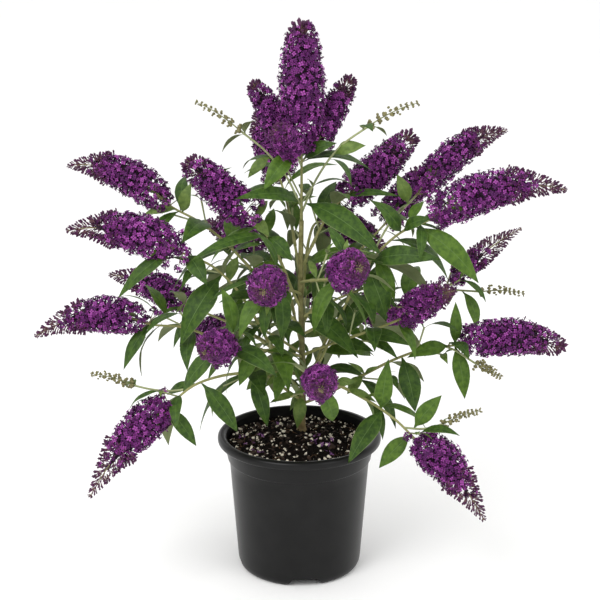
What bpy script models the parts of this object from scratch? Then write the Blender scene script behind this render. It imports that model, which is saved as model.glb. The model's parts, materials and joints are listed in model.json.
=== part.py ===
"""Potted butterfly bush: one leader with opposite side shoots that end in dense tapering blooms.

Metres, +Z up. The origin is the centre of the pot's flat underside, -Y is the front.
The pot and the soil are turned, the stem and the boughs are tapering tubes, and each spray of
foliage grows by one seeded rule from its own stem and is fused into a single solid.
"""

import math
import random
from collections import namedtuple

import bmesh
import bpy
from mathutils import Matrix, Vector
from mathutils.bvhtree import BVHTree

UP = Vector((0, 0, 1))
GAP = 0.0003
WELD = 0.000004

# Pot: a moulded nursery pot
POT_SIDES = 32
POT_HEIGHT = 0.185
LIP_RADIUS = 0.108
LIP_DEPTH = 0.011
COLLAR_RADIUS = 0.0985
COLLAR_FOOT_RADIUS = 0.0945
COLLAR_DEPTH = 0.034
BODY_TOP_RADIUS = 0.0926
BODY_FOOT_RADIUS = 0.0822
HEEL_HEIGHT = 0.0095
FOOT_RADIUS = 0.0745
FOOT_WIDTH = 0.009
FLOOR_HEIGHT = 0.0115
PAD_RADIUS = 0.040
SLOPE = 0.002
WALL = 0.0022
NOTCH_COUNT = 6
NOTCH_FIRST = -84.5
NOTCH_FOOT_WIDTH = 0.046
NOTCH_TOP_WIDTH = 0.028
NOTCH_HEIGHT = 0.0105
NOTCH_REACH = 0.020
NOTCH_BELOW = 0.001
DRAIN_RADIUS = 0.005
DRAIN_RING = 0.052

# Soil: the root ball, with a low mound round the stem
SOIL_EDGE = POT_HEIGHT - 0.0125
SOIL_MOUND = 0.182
SOIL_BUMP = 0.0012

# Stem: from the flat cut on the soil to the foot of the crown spray
TRUNK = (
    # place, radius
    ((0.0030, 0.0150, SOIL_MOUND + GAP), 0.0085),
    ((0.0030, 0.0150, 0.1865), 0.0064),
    ((0.0032, 0.0147, 0.1950), 0.0056),
    ((0.0045, 0.0130, 0.2500), 0.0050),
    ((0.0030, 0.0110, 0.3200), 0.0045),
    ((0.0015, 0.0095, 0.3950), 0.0040),
    ((0.0028, 0.0080, 0.4700), 0.0034),
)
TRUNK_SIDES = 8
BOUGH_SIDES = 6
TWIG_SIDES = 3

# Boughs and the stems of the sprays taper from the trunk to the bloom
BOUGH_RADIUS = 0.0027
STEM_RADIUS = 0.0021
NECK_RADIUS = 0.0014
SIDE_TWIG_RADIUS = 0.0014
AXIL_STEP = 0.0060
PATH_STEPS = 9
BOUGH_STEPS = 4
STEM_STEPS = 4

# Leaves stand in opposite pairs, each pair turned a quarter from the last
INTERNODE = 0.044
LEAF_LENGTH = 0.098
LEAF_WIDTH = 0.38
LEAF_ARCH = 0.13
LEAF_FOOT = 0.0004
LEAF_THICKNESS = 0.016
LEAF_BELLY = 0.42
LEAF_TRIES = 4

# A panicle swells soon after its foot and tapers to its tip; those on the upper shoots are
# blunter. A bud spike has opposite buds.
BLOOM_SHAPE = (
    # share of the length, share of the radius
    (0.06, 0.60), (0.20, 0.96), (0.38, 1.0), (0.58, 0.83), (0.76, 0.50), (0.91, 0.28),
)
BLUNT_POWER = 0.35
BLUNT_FROM = 0.5
BLOOM_SIDES = 7
BLOOM_LUMP = 0.08
BUD_PAIRS = 4

# Room kept round leaves, limbs and blooms
LEAF_ROOM = 0.0008
LEAF_ROOM_BELOW = 0.004
LIMB_ROOM = 0.0016
BLOOM_ROOM = 0.0015

Bloom = namedtuple("Bloom", "kind neck tip radius arch fork")
Spray = namedtuple("Spray", "name rise share steep neck tip radius arch extras")
BLUNT_SPRAYS = ("crown", "left_upper", "right_upper", "right_low")

# A spray leaves the stem at height rise, steep degrees above level. Its bough takes share of
# the way to neck, where the bloom begins, and the bloom ends at tip. The bloom's middle stands
# arch times its level reach above the straight line from neck to tip.
SPRAYS = (
    Spray("crown", None, 0.0, 88, (0.003, 0.005, 0.562), (0.003, -0.018, 0.722), 0.031, 0.07, (
        Bloom("blunt", (-0.012, 0.014, 0.560), (-0.058, 0.032, 0.642), 0.020, 0.07, 0.86),
        Bloom("blunt", (0.021, 0.014, 0.566), (0.066, 0.032, 0.649), 0.019, 0.07, 0.82),
        Bloom("panicle", (-0.007, -0.022, 0.562), (-0.028, -0.098, 0.604), 0.019, 0.07, 0.76),
        Bloom("buds", (-0.074, -0.014, 0.590), (-0.126, -0.024, 0.626), 0.006, 0.0, 0.18),
        Bloom("buds", (0.087, -0.020, 0.597), (0.144, -0.030, 0.626), 0.006, 0.0, 0.10),
    )),
    Spray("left_upper", 0.352, 0.35, 62, (-0.060, -0.020, 0.480), (-0.140, -0.022, 0.555),
          0.026, 0.0, ()),
    Spray("left_high", 0.325, 0.34, 48, (-0.165, 0.040, 0.481), (-0.301, 0.070, 0.529),
          0.025, 0.135, ()),
    Spray("left_mid", 0.234, 0.34, 50, (-0.146, -0.040, 0.440), (-0.282, -0.080, 0.478),
          0.027, 0.1, ()),
    Spray("left_rear", 0.268, 0.34, 36, (-0.139, 0.090, 0.328), (-0.262, 0.140, 0.363),
          0.023, 0.07, ()),
    Spray("left_low", 0.224, 0.34, 36, (-0.188, -0.030, 0.343), (-0.331, -0.060, 0.337),
          0.025, 0.14, ()),
    Spray("left_drooping", 0.262, 0.26, 12, (-0.161, -0.100, 0.261), (-0.256, -0.160, 0.163),
          0.026, 0.14, (
        Bloom("buds", (-0.208, -0.088, 0.282), (-0.256, -0.100, 0.301), 0.006, 0.0, 0.80),
    )),
    Spray("right_high", 0.236, 0.46, 58, (0.163, -0.030, 0.480), (0.325, -0.060, 0.524),
          0.027, 0.13, (
        Bloom("panicle", (0.150, 0.050, 0.492), (0.271, 0.090, 0.572), 0.022, 0.15, 0.20),
    )),
    Spray("right_upper", 0.408, 0.30, 48, (0.052, 0.050, 0.486), (0.150, 0.090, 0.570),
          0.026, -0.05, ()),
    Spray("right_rear", 0.316, 0.36, 30, (0.201, 0.070, 0.368), (0.300, 0.110, 0.436),
          0.015, 0.07, (
        Bloom("buds", (0.240, 0.050, 0.364), (0.296, 0.050, 0.362), 0.006, 0.0, 0.86),
    )),
    Spray("right_low", 0.220, 0.30, 22, (0.203, -0.030, 0.316), (0.335, -0.050, 0.318),
          0.025, 0.1, (
        Bloom("buds", (0.224, -0.056, 0.299), (0.254, -0.064, 0.284), 0.006, 0.0, 0.88),
    )),
    Spray("right_drooping", 0.272, 0.28, -14, (0.147, -0.100, 0.213), (0.227, -0.160, 0.132),
          0.026, 0.14, (
        Bloom("buds", (0.180, -0.100, 0.235), (0.224, -0.110, 0.256), 0.006, 0.0, 0.84),
    )),
    Spray("right_mid", 0.288, 0.30, 30, (0.130, -0.055, 0.360), (0.185, -0.130, 0.416),
          0.022, 0.07, ()),
    Spray("front_left", 0.372, 0.24, 24, (-0.036, -0.140, 0.420), (-0.040, -0.250, 0.446),
          0.024, 0.07, ()),
    Spray("front_right", 0.388, 0.24, 20, (0.050, -0.130, 0.432), (0.069, -0.240, 0.471),
          0.024, 0.07, ()),
    Spray("front_low_left", 0.286, 0.24, 26, (-0.090, -0.130, 0.341), (-0.108, -0.240, 0.373),
          0.022, 0.07, ()),
    Spray("front_low", 0.262, 0.24, 22, (0.023, -0.140, 0.300), (0.026, -0.250, 0.331),
          0.022, 0.07, ()),
    Spray("rear_left", 0.300, 0.30, 50, (-0.045, 0.110, 0.400), (-0.135, 0.205, 0.420),
          0.024, 0.07, ()),
    Spray("rear_right", 0.360, 0.30, 55, (0.034, 0.105, 0.446), (0.126, 0.200, 0.378),
          0.022, 0.07, ()),
    Spray("rear_right_low", 0.236, 0.30, 40, (0.080, 0.120, 0.318), (0.166, 0.210, 0.261),
          0.023, 0.07, ()),
    Spray("rear_high", 0.395, 0.30, 55, (-0.025, 0.095, 0.505), (-0.060, 0.190, 0.580),
          0.024, 0.07, ()),
    Spray("rear_left_low", 0.252, 0.30, 25, (-0.090, 0.150, 0.275), (-0.165, 0.262, 0.225),
          0.025, 0.07, ()),
    Spray("rear_low", 0.274, 0.30, 35, (0.010, 0.165, 0.330), (0.022, 0.300, 0.322),
          0.025, 0.07, ()),
    Spray("rear_right_high", 0.330, 0.30, 45, (0.118, 0.128, 0.440), (0.196, 0.222, 0.500),
          0.024, 0.07, ()),
    Spray("inner_front", 0.232, 0.0, 30, (-0.010, -0.075, 0.262), None, 0.0, 0.07, ()),
    Spray("inner_left", 0.290, 0.0, 35, (-0.080, 0.020, 0.335), None, 0.0, 0.07, ()),
    Spray("inner_right", 0.340, 0.0, 30, (0.085, 0.010, 0.380), None, 0.0, 0.07, ()),
    Spray("inner_rear", 0.226, 0.0, 30, (0.012, 0.100, 0.262), None, 0.0, 0.07, ()),
)

# Broad leaves that the front of the bush shows singly. Each grows from the twig of its spray that
# passes nearest to root, and faces the front.
Broad = namedtuple("Broad", "spray root tip width")
BROAD_LEAVES = (
    Broad("left_high", (-0.151, 0.037, 0.474), (-0.139, 0.027, 0.515), 0.019),
    Broad("left_high", (-0.158, 0.039, 0.478), (-0.202, 0.039, 0.473), 0.012),
    Broad("left_mid", (-0.154, -0.042, 0.444), (-0.227, -0.072, 0.392), 0.020),
    Broad("left_mid", (-0.139, -0.038, 0.436), (-0.114, -0.078, 0.411), 0.023),
    Broad("left_upper", (-0.039, -0.018, 0.456), (-0.133, -0.078, 0.444), 0.018),
    Broad("crown", (0.001, 0.008, 0.491), (-0.073, -0.067, 0.520), 0.022),
    Broad("crown", (-0.005, -0.022, 0.560), (-0.044, -0.052, 0.525), 0.024),
    Broad("crown", (0.006, 0.008, 0.550), (0.043, -0.022, 0.577), 0.020),
    Broad("crown", (0.008, 0.006, 0.493), (0.102, -0.054, 0.446), 0.034),
    Broad("crown", (-0.036, -0.004, 0.555), (-0.065, -0.014, 0.531), 0.014),
    Broad("crown", (0.044, -0.008, 0.559), (0.081, -0.018, 0.573), 0.019),
    Broad("right_high", (0.127, -0.023, 0.462), (0.091, -0.043, 0.508), 0.027),
    Broad("right_high", (0.090, -0.014, 0.420), (0.171, -0.064, 0.442), 0.027),
    Broad("right_high", (0.145, -0.026, 0.471), (0.226, -0.056, 0.408), 0.030),
    Broad("right_high", (0.141, 0.044, 0.484), (0.127, 0.044, 0.523), 0.019),
    Broad("right_high", (0.131, -0.024, 0.464), (0.161, -0.054, 0.489), 0.019),
    Broad("right_high", (0.086, -0.012, 0.413), (0.111, -0.042, 0.352), 0.035),
    Broad("right_upper", (0.052, 0.052, 0.498), (0.127, 0.022, 0.502), 0.011),
    Broad("left_mid", (-0.098, -0.025, 0.407), (-0.152, -0.065, 0.327), 0.037),
    Broad("left_low", (-0.191, -0.031, 0.344), (-0.225, -0.051, 0.290), 0.019),
    Broad("front_low_left", (-0.090, -0.152, 0.357), (-0.143, -0.152, 0.296), 0.023),
    Broad("left_drooping", (-0.127, -0.077, 0.280), (-0.171, -0.057, 0.259), 0.015),
    Broad("left_drooping", (-0.123, -0.075, 0.280), (-0.076, -0.085, 0.218), 0.024),
    Broad("left_drooping", (-0.165, -0.102, 0.258), (-0.127, -0.112, 0.210), 0.019),
    Broad("left_drooping", (-0.061, -0.032, 0.279), (-0.040, -0.052, 0.212), 0.022),
    Broad("inner_right", (0.011, 0.011, 0.345), (0.073, -0.059, 0.313), 0.033),
    Broad("right_mid", (0.081, -0.023, 0.331), (0.140, -0.053, 0.325), 0.018),
    Broad("right_low", (0.191, -0.028, 0.314), (0.138, -0.048, 0.307), 0.022),
    Broad("right_drooping", (0.104, -0.066, 0.242), (0.111, -0.076, 0.310), 0.023),
    Broad("right_low", (0.132, -0.017, 0.296), (0.151, -0.037, 0.227), 0.029),
    Broad("right_drooping", (0.144, -0.092, 0.226), (0.178, -0.082, 0.267), 0.022),
    Broad("right_drooping", (0.140, -0.095, 0.219), (0.099, -0.105, 0.178), 0.022),
    Broad("right_drooping", (0.106, -0.068, 0.241), (0.061, -0.114, 0.190), 0.027),
    Broad("right_low", (0.199, -0.029, 0.315), (0.213, -0.049, 0.249), 0.022),
    Broad("right_low", (0.199, -0.029, 0.315), (0.200, -0.019, 0.370), 0.016),
    Broad("front_low", (0.023, -0.140, 0.307), (0.044, -0.120, 0.243), 0.022),
    Broad("inner_front", (0.004, 0.014, 0.232), (-0.003, -0.006, 0.193), 0.018),
    Broad("front_low_left", (-0.076, -0.099, 0.336), (-0.122, -0.119, 0.351), 0.014),
    Broad("left_upper", (-0.019, -0.007, 0.411), (-0.062, -0.037, 0.417), 0.018),
    Broad("left_upper", (-0.039, -0.018, 0.456), (-0.009, -0.038, 0.431), 0.023),
    Broad("left_upper", (-0.060, -0.020, 0.481), (-0.037, -0.030, 0.459), 0.018),
    Broad("left_high", (-0.061, 0.021, 0.400), (-0.092, 0.021, 0.350), 0.018),
    Broad("left_high", (-0.079, 0.024, 0.420), (-0.094, 0.014, 0.385), 0.016),
    Broad("rear_left", (-0.014, 0.056, 0.354), (-0.072, 0.020, 0.338), 0.018),
    Broad("rear_right", (0.010, 0.038, 0.405), (0.077, 0.008, 0.433), 0.020),
    Broad("right_high", (0.095, -0.015, 0.427), (0.122, -0.035, 0.377), 0.020),
    Broad("right_mid", (0.045, -0.007, 0.312), (0.095, -0.027, 0.308), 0.020),
    Broad("right_low", (0.082, -0.005, 0.266), (0.062, -0.015, 0.244), 0.016),
    Broad("front_low", (0.006, -0.028, 0.284), (0.019, -0.052, 0.258), 0.018),
    Broad("front_low_left", (-0.052, -0.060, 0.322), (-0.076, -0.080, 0.279), 0.020),
    Broad("left_drooping", (-0.042, -0.019, 0.275), (-0.069, -0.029, 0.255), 0.016),
    Broad("inner_rear", (0.005, 0.030, 0.235), (-0.012, 0.020, 0.210), 0.012),
)
BROAD_FACE = Vector((0, -0.8, 0.7))

# Wedges of open room, seen from the front: before the stem, right of the pot, over the soil. Only broad
# leaves enter them. Each is held between two sight lines, given by their heights at y = 0.
Wedge = namedtuple("Wedge", "left right low high near far")
SIGHT_PLACE = (0, -1.8, 0.888)
OPEN_WEDGES = (
    Wedge(-0.0045, 0.0095, 0.345, 0.545, -0.200, -0.004),
    Wedge(-0.020, 0.022, 0.410, 0.500, -0.200, -0.004),
    Wedge(0.068, 0.230, 0.172, 0.282, -0.200, 0.030),
    Wedge(-0.085, 0.075, 0.195, 0.226, -0.200, 0.060),
)


def clear_scene():
    for ob in list(bpy.data.objects):
        bpy.data.objects.remove(ob, do_unlink=True)


def collection(name):
    made = bpy.data.collections.new(name)
    bpy.context.scene.collection.children.link(made)
    return made


def material(name, rgb, roughness, metallic=0.0):
    mat = bpy.data.materials.new(name)
    mat.use_nodes = True
    shader = mat.node_tree.nodes["Principled BSDF"]
    shader.inputs["Base Color"].default_value = (*rgb, 1.0)
    shader.inputs["Roughness"].default_value = roughness
    shader.inputs["Metallic"].default_value = metallic
    return mat


def mesh_object(name, mesh, home):
    ob = bpy.data.objects.new(name, mesh)
    home.objects.link(ob)
    return ob


def evaluated_mesh(ob):
    """The object's mesh with its modifiers applied."""
    graph = bpy.context.evaluated_depsgraph_get()
    return bpy.data.meshes.new_from_object(ob.evaluated_get(graph))


def finish(ob, mat, smooth):
    ob.data.materials.clear()
    ob.data.materials.append(mat)
    if smooth:
        ob.data.shade_smooth()
        ob.data.set_sharp_from_angle(angle=math.radians(40))
    else:
        ob.data.shade_flat()
    return ob


# Turned pieces


def turned(name, profile, home):
    """Turns a profile of (radius, height) points, inside to outside over the top, round Z."""
    mesh = bpy.data.meshes.new(name)
    edges = [(i, i + 1) for i in range(len(profile) - 1)]
    mesh.from_pydata([(r, 0, z) for r, z in profile], edges, [])
    ob = mesh_object(name, mesh, home)
    screw = ob.modifiers.new("turn", "SCREW")
    screw.steps = POT_SIDES
    screw.render_steps = POT_SIDES
    screw.use_merge_vertices = True
    screw.merge_threshold = 0.00005
    ob.data = evaluated_mesh(ob)
    ob.modifiers.clear()
    return ob


def wall_radius(z):
    """Outer radius of the pot's body at height z."""
    share = (z - HEEL_HEIGHT) / (POT_HEIGHT - COLLAR_DEPTH - HEEL_HEIGHT)
    return BODY_FOOT_RADIUS + (BODY_TOP_RADIUS - BODY_FOOT_RADIUS) * share


def pot_profile():
    lip_foot = POT_HEIGHT - LIP_DEPTH
    collar_foot = POT_HEIGHT - COLLAR_DEPTH
    floor_top = FLOOR_HEIGHT + WALL
    inside = [
        (0, WALL),
        (PAD_RADIUS - WALL, WALL),
        (PAD_RADIUS + SLOPE - WALL, floor_top),
        (wall_radius(floor_top) - 2 * WALL, floor_top),
        (wall_radius(collar_foot) - WALL, collar_foot),
        (COLLAR_RADIUS - WALL, lip_foot),
    ]
    lip = [
        (LIP_RADIUS - 0.0095, POT_HEIGHT - 0.0010),
        (LIP_RADIUS - 0.0062, POT_HEIGHT),
        (LIP_RADIUS - 0.0018, POT_HEIGHT - 0.0016),
        (LIP_RADIUS, POT_HEIGHT - 0.0052),
        (LIP_RADIUS - 0.0004, lip_foot),
    ]
    outside = [
        (COLLAR_RADIUS, lip_foot + 0.0004),
        (COLLAR_FOOT_RADIUS, collar_foot),
        (BODY_TOP_RADIUS, collar_foot - 0.0006),
        (BODY_FOOT_RADIUS, HEEL_HEIGHT),
    ]
    heel = [
        (BODY_FOOT_RADIUS - 0.0023, HEEL_HEIGHT * 0.3),
        (FOOT_RADIUS, 0),
    ]
    under = [
        (FOOT_RADIUS - FOOT_WIDTH, 0),
        (FOOT_RADIUS - FOOT_WIDTH - SLOPE, FLOOR_HEIGHT),
        (PAD_RADIUS + SLOPE, FLOOR_HEIGHT),
        (PAD_RADIUS, 0),
        (0, 0),
    ]
    return inside + lip + outside + heel + under


def notch_cutter(home):
    """A block with sloping ends that cuts one gap in the foot ring; it lies along +X."""
    bm = bmesh.new()
    bmesh.ops.create_cube(bm, size=1)
    for v in bm.verts:
        width = NOTCH_TOP_WIDTH if v.co.z > 0 else NOTCH_FOOT_WIDTH
        v.co.y = math.copysign(width / 2, v.co.y)
        v.co.z = NOTCH_HEIGHT if v.co.z > 0 else -NOTCH_BELOW
        v.co.x = FOOT_RADIUS + math.copysign(NOTCH_REACH, v.co.x)
    return cutter_object("notch", bm, home)


def drain_cutter(home):
    bm = bmesh.new()
    bmesh.ops.create_cone(bm, cap_ends=True, segments=10, radius1=DRAIN_RADIUS,
                          radius2=DRAIN_RADIUS, depth=WALL * 4)
    bmesh.ops.translate(bm, vec=(DRAIN_RING, 0, FLOOR_HEIGHT), verts=bm.verts)
    return cutter_object("drain", bm, home)


def cutter_object(name, bm, home):
    mesh = bpy.data.meshes.new(name)
    bm.to_mesh(mesh)
    bm.free()
    return as_cutter(mesh_object(name, mesh, home))


def as_cutter(ob):
    ob.hide_render = True
    ob.display_type = "WIRE"
    return ob


def boolean(ob, other, operation, solver="EXACT"):
    """Applies one Boolean of ob with another object or with a whole collection."""
    mod = ob.modifiers.new(operation.lower(), "BOOLEAN")
    mod.operation = operation
    mod.solver = solver
    if isinstance(other, bpy.types.Collection):
        mod.operand_type = "COLLECTION"
        mod.collection = other
    else:
        mod.object = other
    old = ob.data
    ob.data = evaluated_mesh(ob)
    ob.modifiers.clear()
    bpy.data.meshes.remove(old)


def make_pot(home, tools, mat):
    pot = turned("pot", pot_profile(), home)
    for i in range(NOTCH_COUNT):
        turn = Matrix.Rotation(math.radians(NOTCH_FIRST + 360 * i / NOTCH_COUNT), 4, "Z")
        for cutter in (notch_cutter(tools), drain_cutter(tools)):
            cutter.matrix_world = turn
            boolean(pot, cutter, "DIFFERENCE")
    return finish(pot, mat, True)


def soil_profile():
    """The top with its mound, then the side inside the pot's wall."""
    floor_top = FLOOR_HEIGHT + WALL + GAP
    collar_foot = POT_HEIGHT - COLLAR_DEPTH
    share = (SOIL_EDGE - collar_foot) / (COLLAR_DEPTH - LIP_DEPTH)
    edge = COLLAR_FOOT_RADIUS + (COLLAR_RADIUS - COLLAR_FOOT_RADIUS) * share - WALL - 2 * GAP
    top = [(0, SOIL_MOUND)]
    for share in (0.26, 0.36, 0.50, 0.64, 0.78, 0.90, 1.0):
        fall = max(0.0, share - 0.26) / 0.74
        drop = 0.5 - 0.5 * math.cos(math.pi * min(1.0, fall * 1.25))
        top.append((edge * share, SOIL_MOUND + (SOIL_EDGE - SOIL_MOUND) * drop))
    side = [
        (wall_radius(collar_foot) - WALL - 2 * GAP, collar_foot),
        (wall_radius(floor_top) - 2 * WALL - 2 * GAP, floor_top),
        (PAD_RADIUS + SLOPE - WALL - 2 * GAP, floor_top),
        (PAD_RADIUS - WALL - 2 * GAP, WALL + GAP),
        (0, WALL + GAP),
    ]
    return top + side


def make_soil(home, mat):
    soil = turned("soil", soil_profile(), home)
    for v in soil.data.vertices:
        reach = math.hypot(v.co.x, v.co.y)
        if v.co.z > SOIL_EDGE - 0.002 and 0.03 < reach < 0.085:
            wave = math.sin(v.co.x * 190 + 1.3) * math.sin(v.co.y * 230 + 0.4)
            v.co.z += SOIL_BUMP * wave
    return finish(soil, mat, False)


# Limbs


def tube(name, points, radii, sides, home):
    """A tapering limb with flat ends, as a bevelled curve turned into a mesh."""
    ring = bpy.data.curves.new("section", "CURVE")
    ring.dimensions = "2D"
    spline = ring.splines.new("POLY")
    spline.points.add(sides - 1)
    for i, point in enumerate(spline.points):
        turn = 2 * math.pi * i / sides
        point.co = (math.cos(turn), math.sin(turn), 0, 1)
    spline.use_cyclic_u = True
    guide = bpy.data.objects.new("section", ring)
    home.objects.link(guide)
    curve = bpy.data.curves.new(name, "CURVE")
    curve.dimensions = "3D"
    curve.bevel_mode = "OBJECT"
    curve.bevel_object = guide
    curve.use_fill_caps = True
    line = curve.splines.new("POLY")
    line.points.add(len(points) - 1)
    for point, place, radius in zip(line.points, points, radii):
        point.co = (*place, 1)
        point.radius = radius
    limb = bpy.data.objects.new(name, curve)
    home.objects.link(limb)
    bpy.context.view_layer.update()
    mesh = evaluated_mesh(limb)
    for spare in (limb, guide):
        bpy.data.objects.remove(spare, do_unlink=True)
    bpy.data.curves.remove(curve)
    bpy.data.curves.remove(ring)
    bm = bmesh.new()
    bm.from_mesh(mesh)
    bmesh.ops.remove_doubles(bm, verts=bm.verts, dist=WELD)
    bmesh.ops.recalc_face_normals(bm, faces=bm.faces)
    bm.to_mesh(mesh)
    bm.free()
    return mesh_object(name, mesh, home)


def trunk_at(z):
    """The trunk's middle and radius at height z."""
    for (low, low_r), (high, high_r) in zip(TRUNK, TRUNK[1:]):
        if z <= high[2]:
            share = (z - low[2]) / (high[2] - low[2])
            return Vector(low).lerp(Vector(high), share), low_r + (high_r - low_r) * share
    return Vector(TRUNK[-1][0]), TRUNK[-1][1]


def hermite(start, leave, end, arrive, t):
    """A point on the smooth curve from start to end with the two tangents."""
    a, b = 2 * t**3 - 3 * t**2 + 1, t**3 - 2 * t**2 + t
    c, d = -2 * t**3 + 3 * t**2, t**3 - t**2
    return start * a + leave * b + end * c + arrive * d


def shoot_path(spray):
    """The whole way of a side shoot, from the trunk's middle to its bloom."""
    neck = Vector(spray.neck)
    if spray.rise is None:
        start = Vector(TRUNK[-1][0]) + UP * GAP
    else:
        start = trunk_at(spray.rise)[0]
    across = Vector((neck.x - start.x, neck.y - start.y, 0)).normalized()
    steep = math.radians(spray.steep)
    length = (neck - start).length
    leave = (across * math.cos(steep) + UP * math.sin(steep)) * length
    if spray.tip:
        arrive = (Vector(spray.tip) - neck).normalized() * length
    else:
        arrive = (across + UP * 0.3).normalized() * length
    if spray.rise is None:
        leave = UP * length
    return [hermite(start, leave, neck, arrive, i / PATH_STEPS) for i in range(PATH_STEPS + 1)]


def walk(path, share):
    """The point and the direction at a share of the path's length."""
    lengths = [(b - a).length for a, b in zip(path, path[1:])]
    left = share * sum(lengths)
    for a, b, length in zip(path, path[1:], lengths):
        if left <= length or b is path[-1]:
            return a.lerp(b, min(1.0, left / length)), (b - a).normalized()
        left -= length


def path_between(path, low, high, steps):
    return [walk(path, low + (high - low) * i / steps)[0] for i in range(steps + 1)]


def nearest_point(limbs, place):
    """The point on the limbs' middle lines that is nearest to place."""
    found = []
    for limb in limbs:
        for a, b in zip(limb.points, limb.points[1:]):
            span = b - a
            share = min(1.0, max(0.0, (place - a).dot(span) / span.length_squared))
            found.append(a + span * share)
    return min(found, key=lambda point: (point - place).length)


# Growth: what a spray is made of, worked out before any solid is made

Limb = namedtuple("Limb", "points radii")
Leaf = namedtuple("Leaf", "root along face length width")


def leaf_frame(direction, roll):
    """The direction and the upper face's normal of a leaf that hangs naturally."""
    along = direction.normalized()
    face = UP - along * UP.dot(along)
    if face.length < 0.05:
        face = along.orthogonal()
    face.normalize()
    return along, Matrix.Rotation(roll, 3, along) @ face


def leaf_points(leaf, thickness, start=0.0, grow=0.0):
    """The foot's three corners, the belly's two edges and rib, and the tip of an arching blade."""
    side = leaf.face.cross(leaf.along)
    half = leaf.width / 2 + grow
    belly = leaf.root + leaf.along * leaf.length * LEAF_BELLY + leaf.face * leaf.length * LEAF_ARCH
    root = leaf.root.lerp(belly, start)
    tip = leaf.root + leaf.along * (leaf.length + grow)
    foot = LEAF_FOOT + (half - LEAF_FOOT) * start
    return [root + side * foot, root - side * foot, root - leaf.face * LEAF_FOOT * 1.4,
            belly + side * half, belly - side * half, belly - leaf.face * thickness,
            tip]


LEAF_FACES = ((0, 2, 1), (0, 1, 4), (0, 4, 3), (1, 2, 5), (1, 5, 4), (2, 0, 3), (2, 3, 5),
              (3, 4, 6), (4, 5, 6), (5, 3, 6))


def leaf_tree(leaf, start):
    """A swollen blade for finding clashes, from a share of the way between foot and belly."""
    places = leaf_points(leaf, LEAF_ROOM_BELOW, start, LEAF_ROOM)
    return BVHTree.FromPolygons(places, LEAF_FACES)


def bloom_axis(bloom, t):
    """A bloom's axis rises a little and then bends down towards its tip."""
    neck = Vector(bloom.neck)
    span = Vector(bloom.tip) - neck
    level = math.hypot(span.x, span.y)
    return neck + span * t + UP * (4 * bloom.arch * level * t * (1 - t))


def bloom_points(bloom, grow=0.0):
    """Rings of a tapering bloom, with its two ends."""
    neck, tip = bloom.neck, bloom.tip
    axis = (tip - neck).normalized()
    side = axis.cross(UP)
    side = side.normalized() if side.length > 0.2 else axis.orthogonal().normalized()
    other = axis.cross(side)
    points = [neck]
    for ring, (t, share) in enumerate(BLOOM_SHAPE):
        middle = bloom_axis(bloom, t)
        if bloom.kind == "blunt" and t > BLUNT_FROM:
            share = share**BLUNT_POWER
        for i in range(BLOOM_SIDES):
            turn = 2 * math.pi * (i + 0.5 * (ring % 2)) / BLOOM_SIDES
            lump = 1 + BLOOM_LUMP * (1 if (i + ring) % 2 else -1)
            reach = bloom.radius * share * lump + grow
            points.append(middle + side * math.cos(turn) * reach + other * math.sin(turn) * reach)
    points.append(tip)
    return points


def bloom_faces():
    n, rings = BLOOM_SIDES, len(BLOOM_SHAPE)
    last = 1 + n * rings
    faces = [(0, 1 + (i + 1) % n, 1 + i) for i in range(n)]
    for ring in range(rings - 1):
        low, high = 1 + ring * n, 1 + (ring + 1) * n
        for i in range(n):
            j = (i + 1) % n
            if ring % 2:
                faces += [(low + i, low + j, high + j), (low + i, high + j, high + i)]
            else:
                faces += [(low + i, low + j, high + i), (low + j, high + j, high + i)]
    low = last - n
    faces += [(low + i, low + (i + 1) % n, last) for i in range(n)]
    return faces


def wedge_tree(wedge):
    """The six faces of a wedge of open room."""
    eye = Vector(SIGHT_PLACE)
    verts = []
    for y in (wedge.near, wedge.far):
        for height in (wedge.low, wedge.high):
            fall = (eye.z - height) / -eye.y
            for x in (wedge.left, wedge.right):
                verts.append(Vector((x, y, eye.z - fall * (y - eye.y))))
    faces = ((0, 1, 3, 2), (4, 5, 7, 6), (0, 1, 5, 4), (2, 3, 7, 6), (0, 2, 6, 4), (1, 3, 7, 5))
    return BVHTree.FromPolygons(verts, faces)


def limb_tree(limb, start=0.0):
    """A swollen four-sided limb for finding clashes."""
    verts, faces = [], []
    first = walk(limb.points, start)[0]
    points = [first] + limb.points[1:]
    for k, point in enumerate(points):
        ahead = points[min(k + 1, len(points) - 1)] - points[max(k - 1, 0)]
        side = ahead.normalized().orthogonal().normalized()
        other = ahead.normalized().cross(side)
        reach = limb.radii[min(k, len(limb.radii) - 1)] + LIMB_ROOM
        for i in range(4):
            turn = math.pi * (i / 2 + 0.25)
            verts.append(point + side * math.cos(turn) * reach + other * math.sin(turn) * reach)
    for k in range(len(points) - 1):
        for i in range(4):
            j = (i + 1) % 4
            faces.append((4 * k + i, 4 * k + j, 4 * k + 4 + j, 4 * k + 4 + i))
    return BVHTree.FromPolygons(verts, faces)


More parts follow.
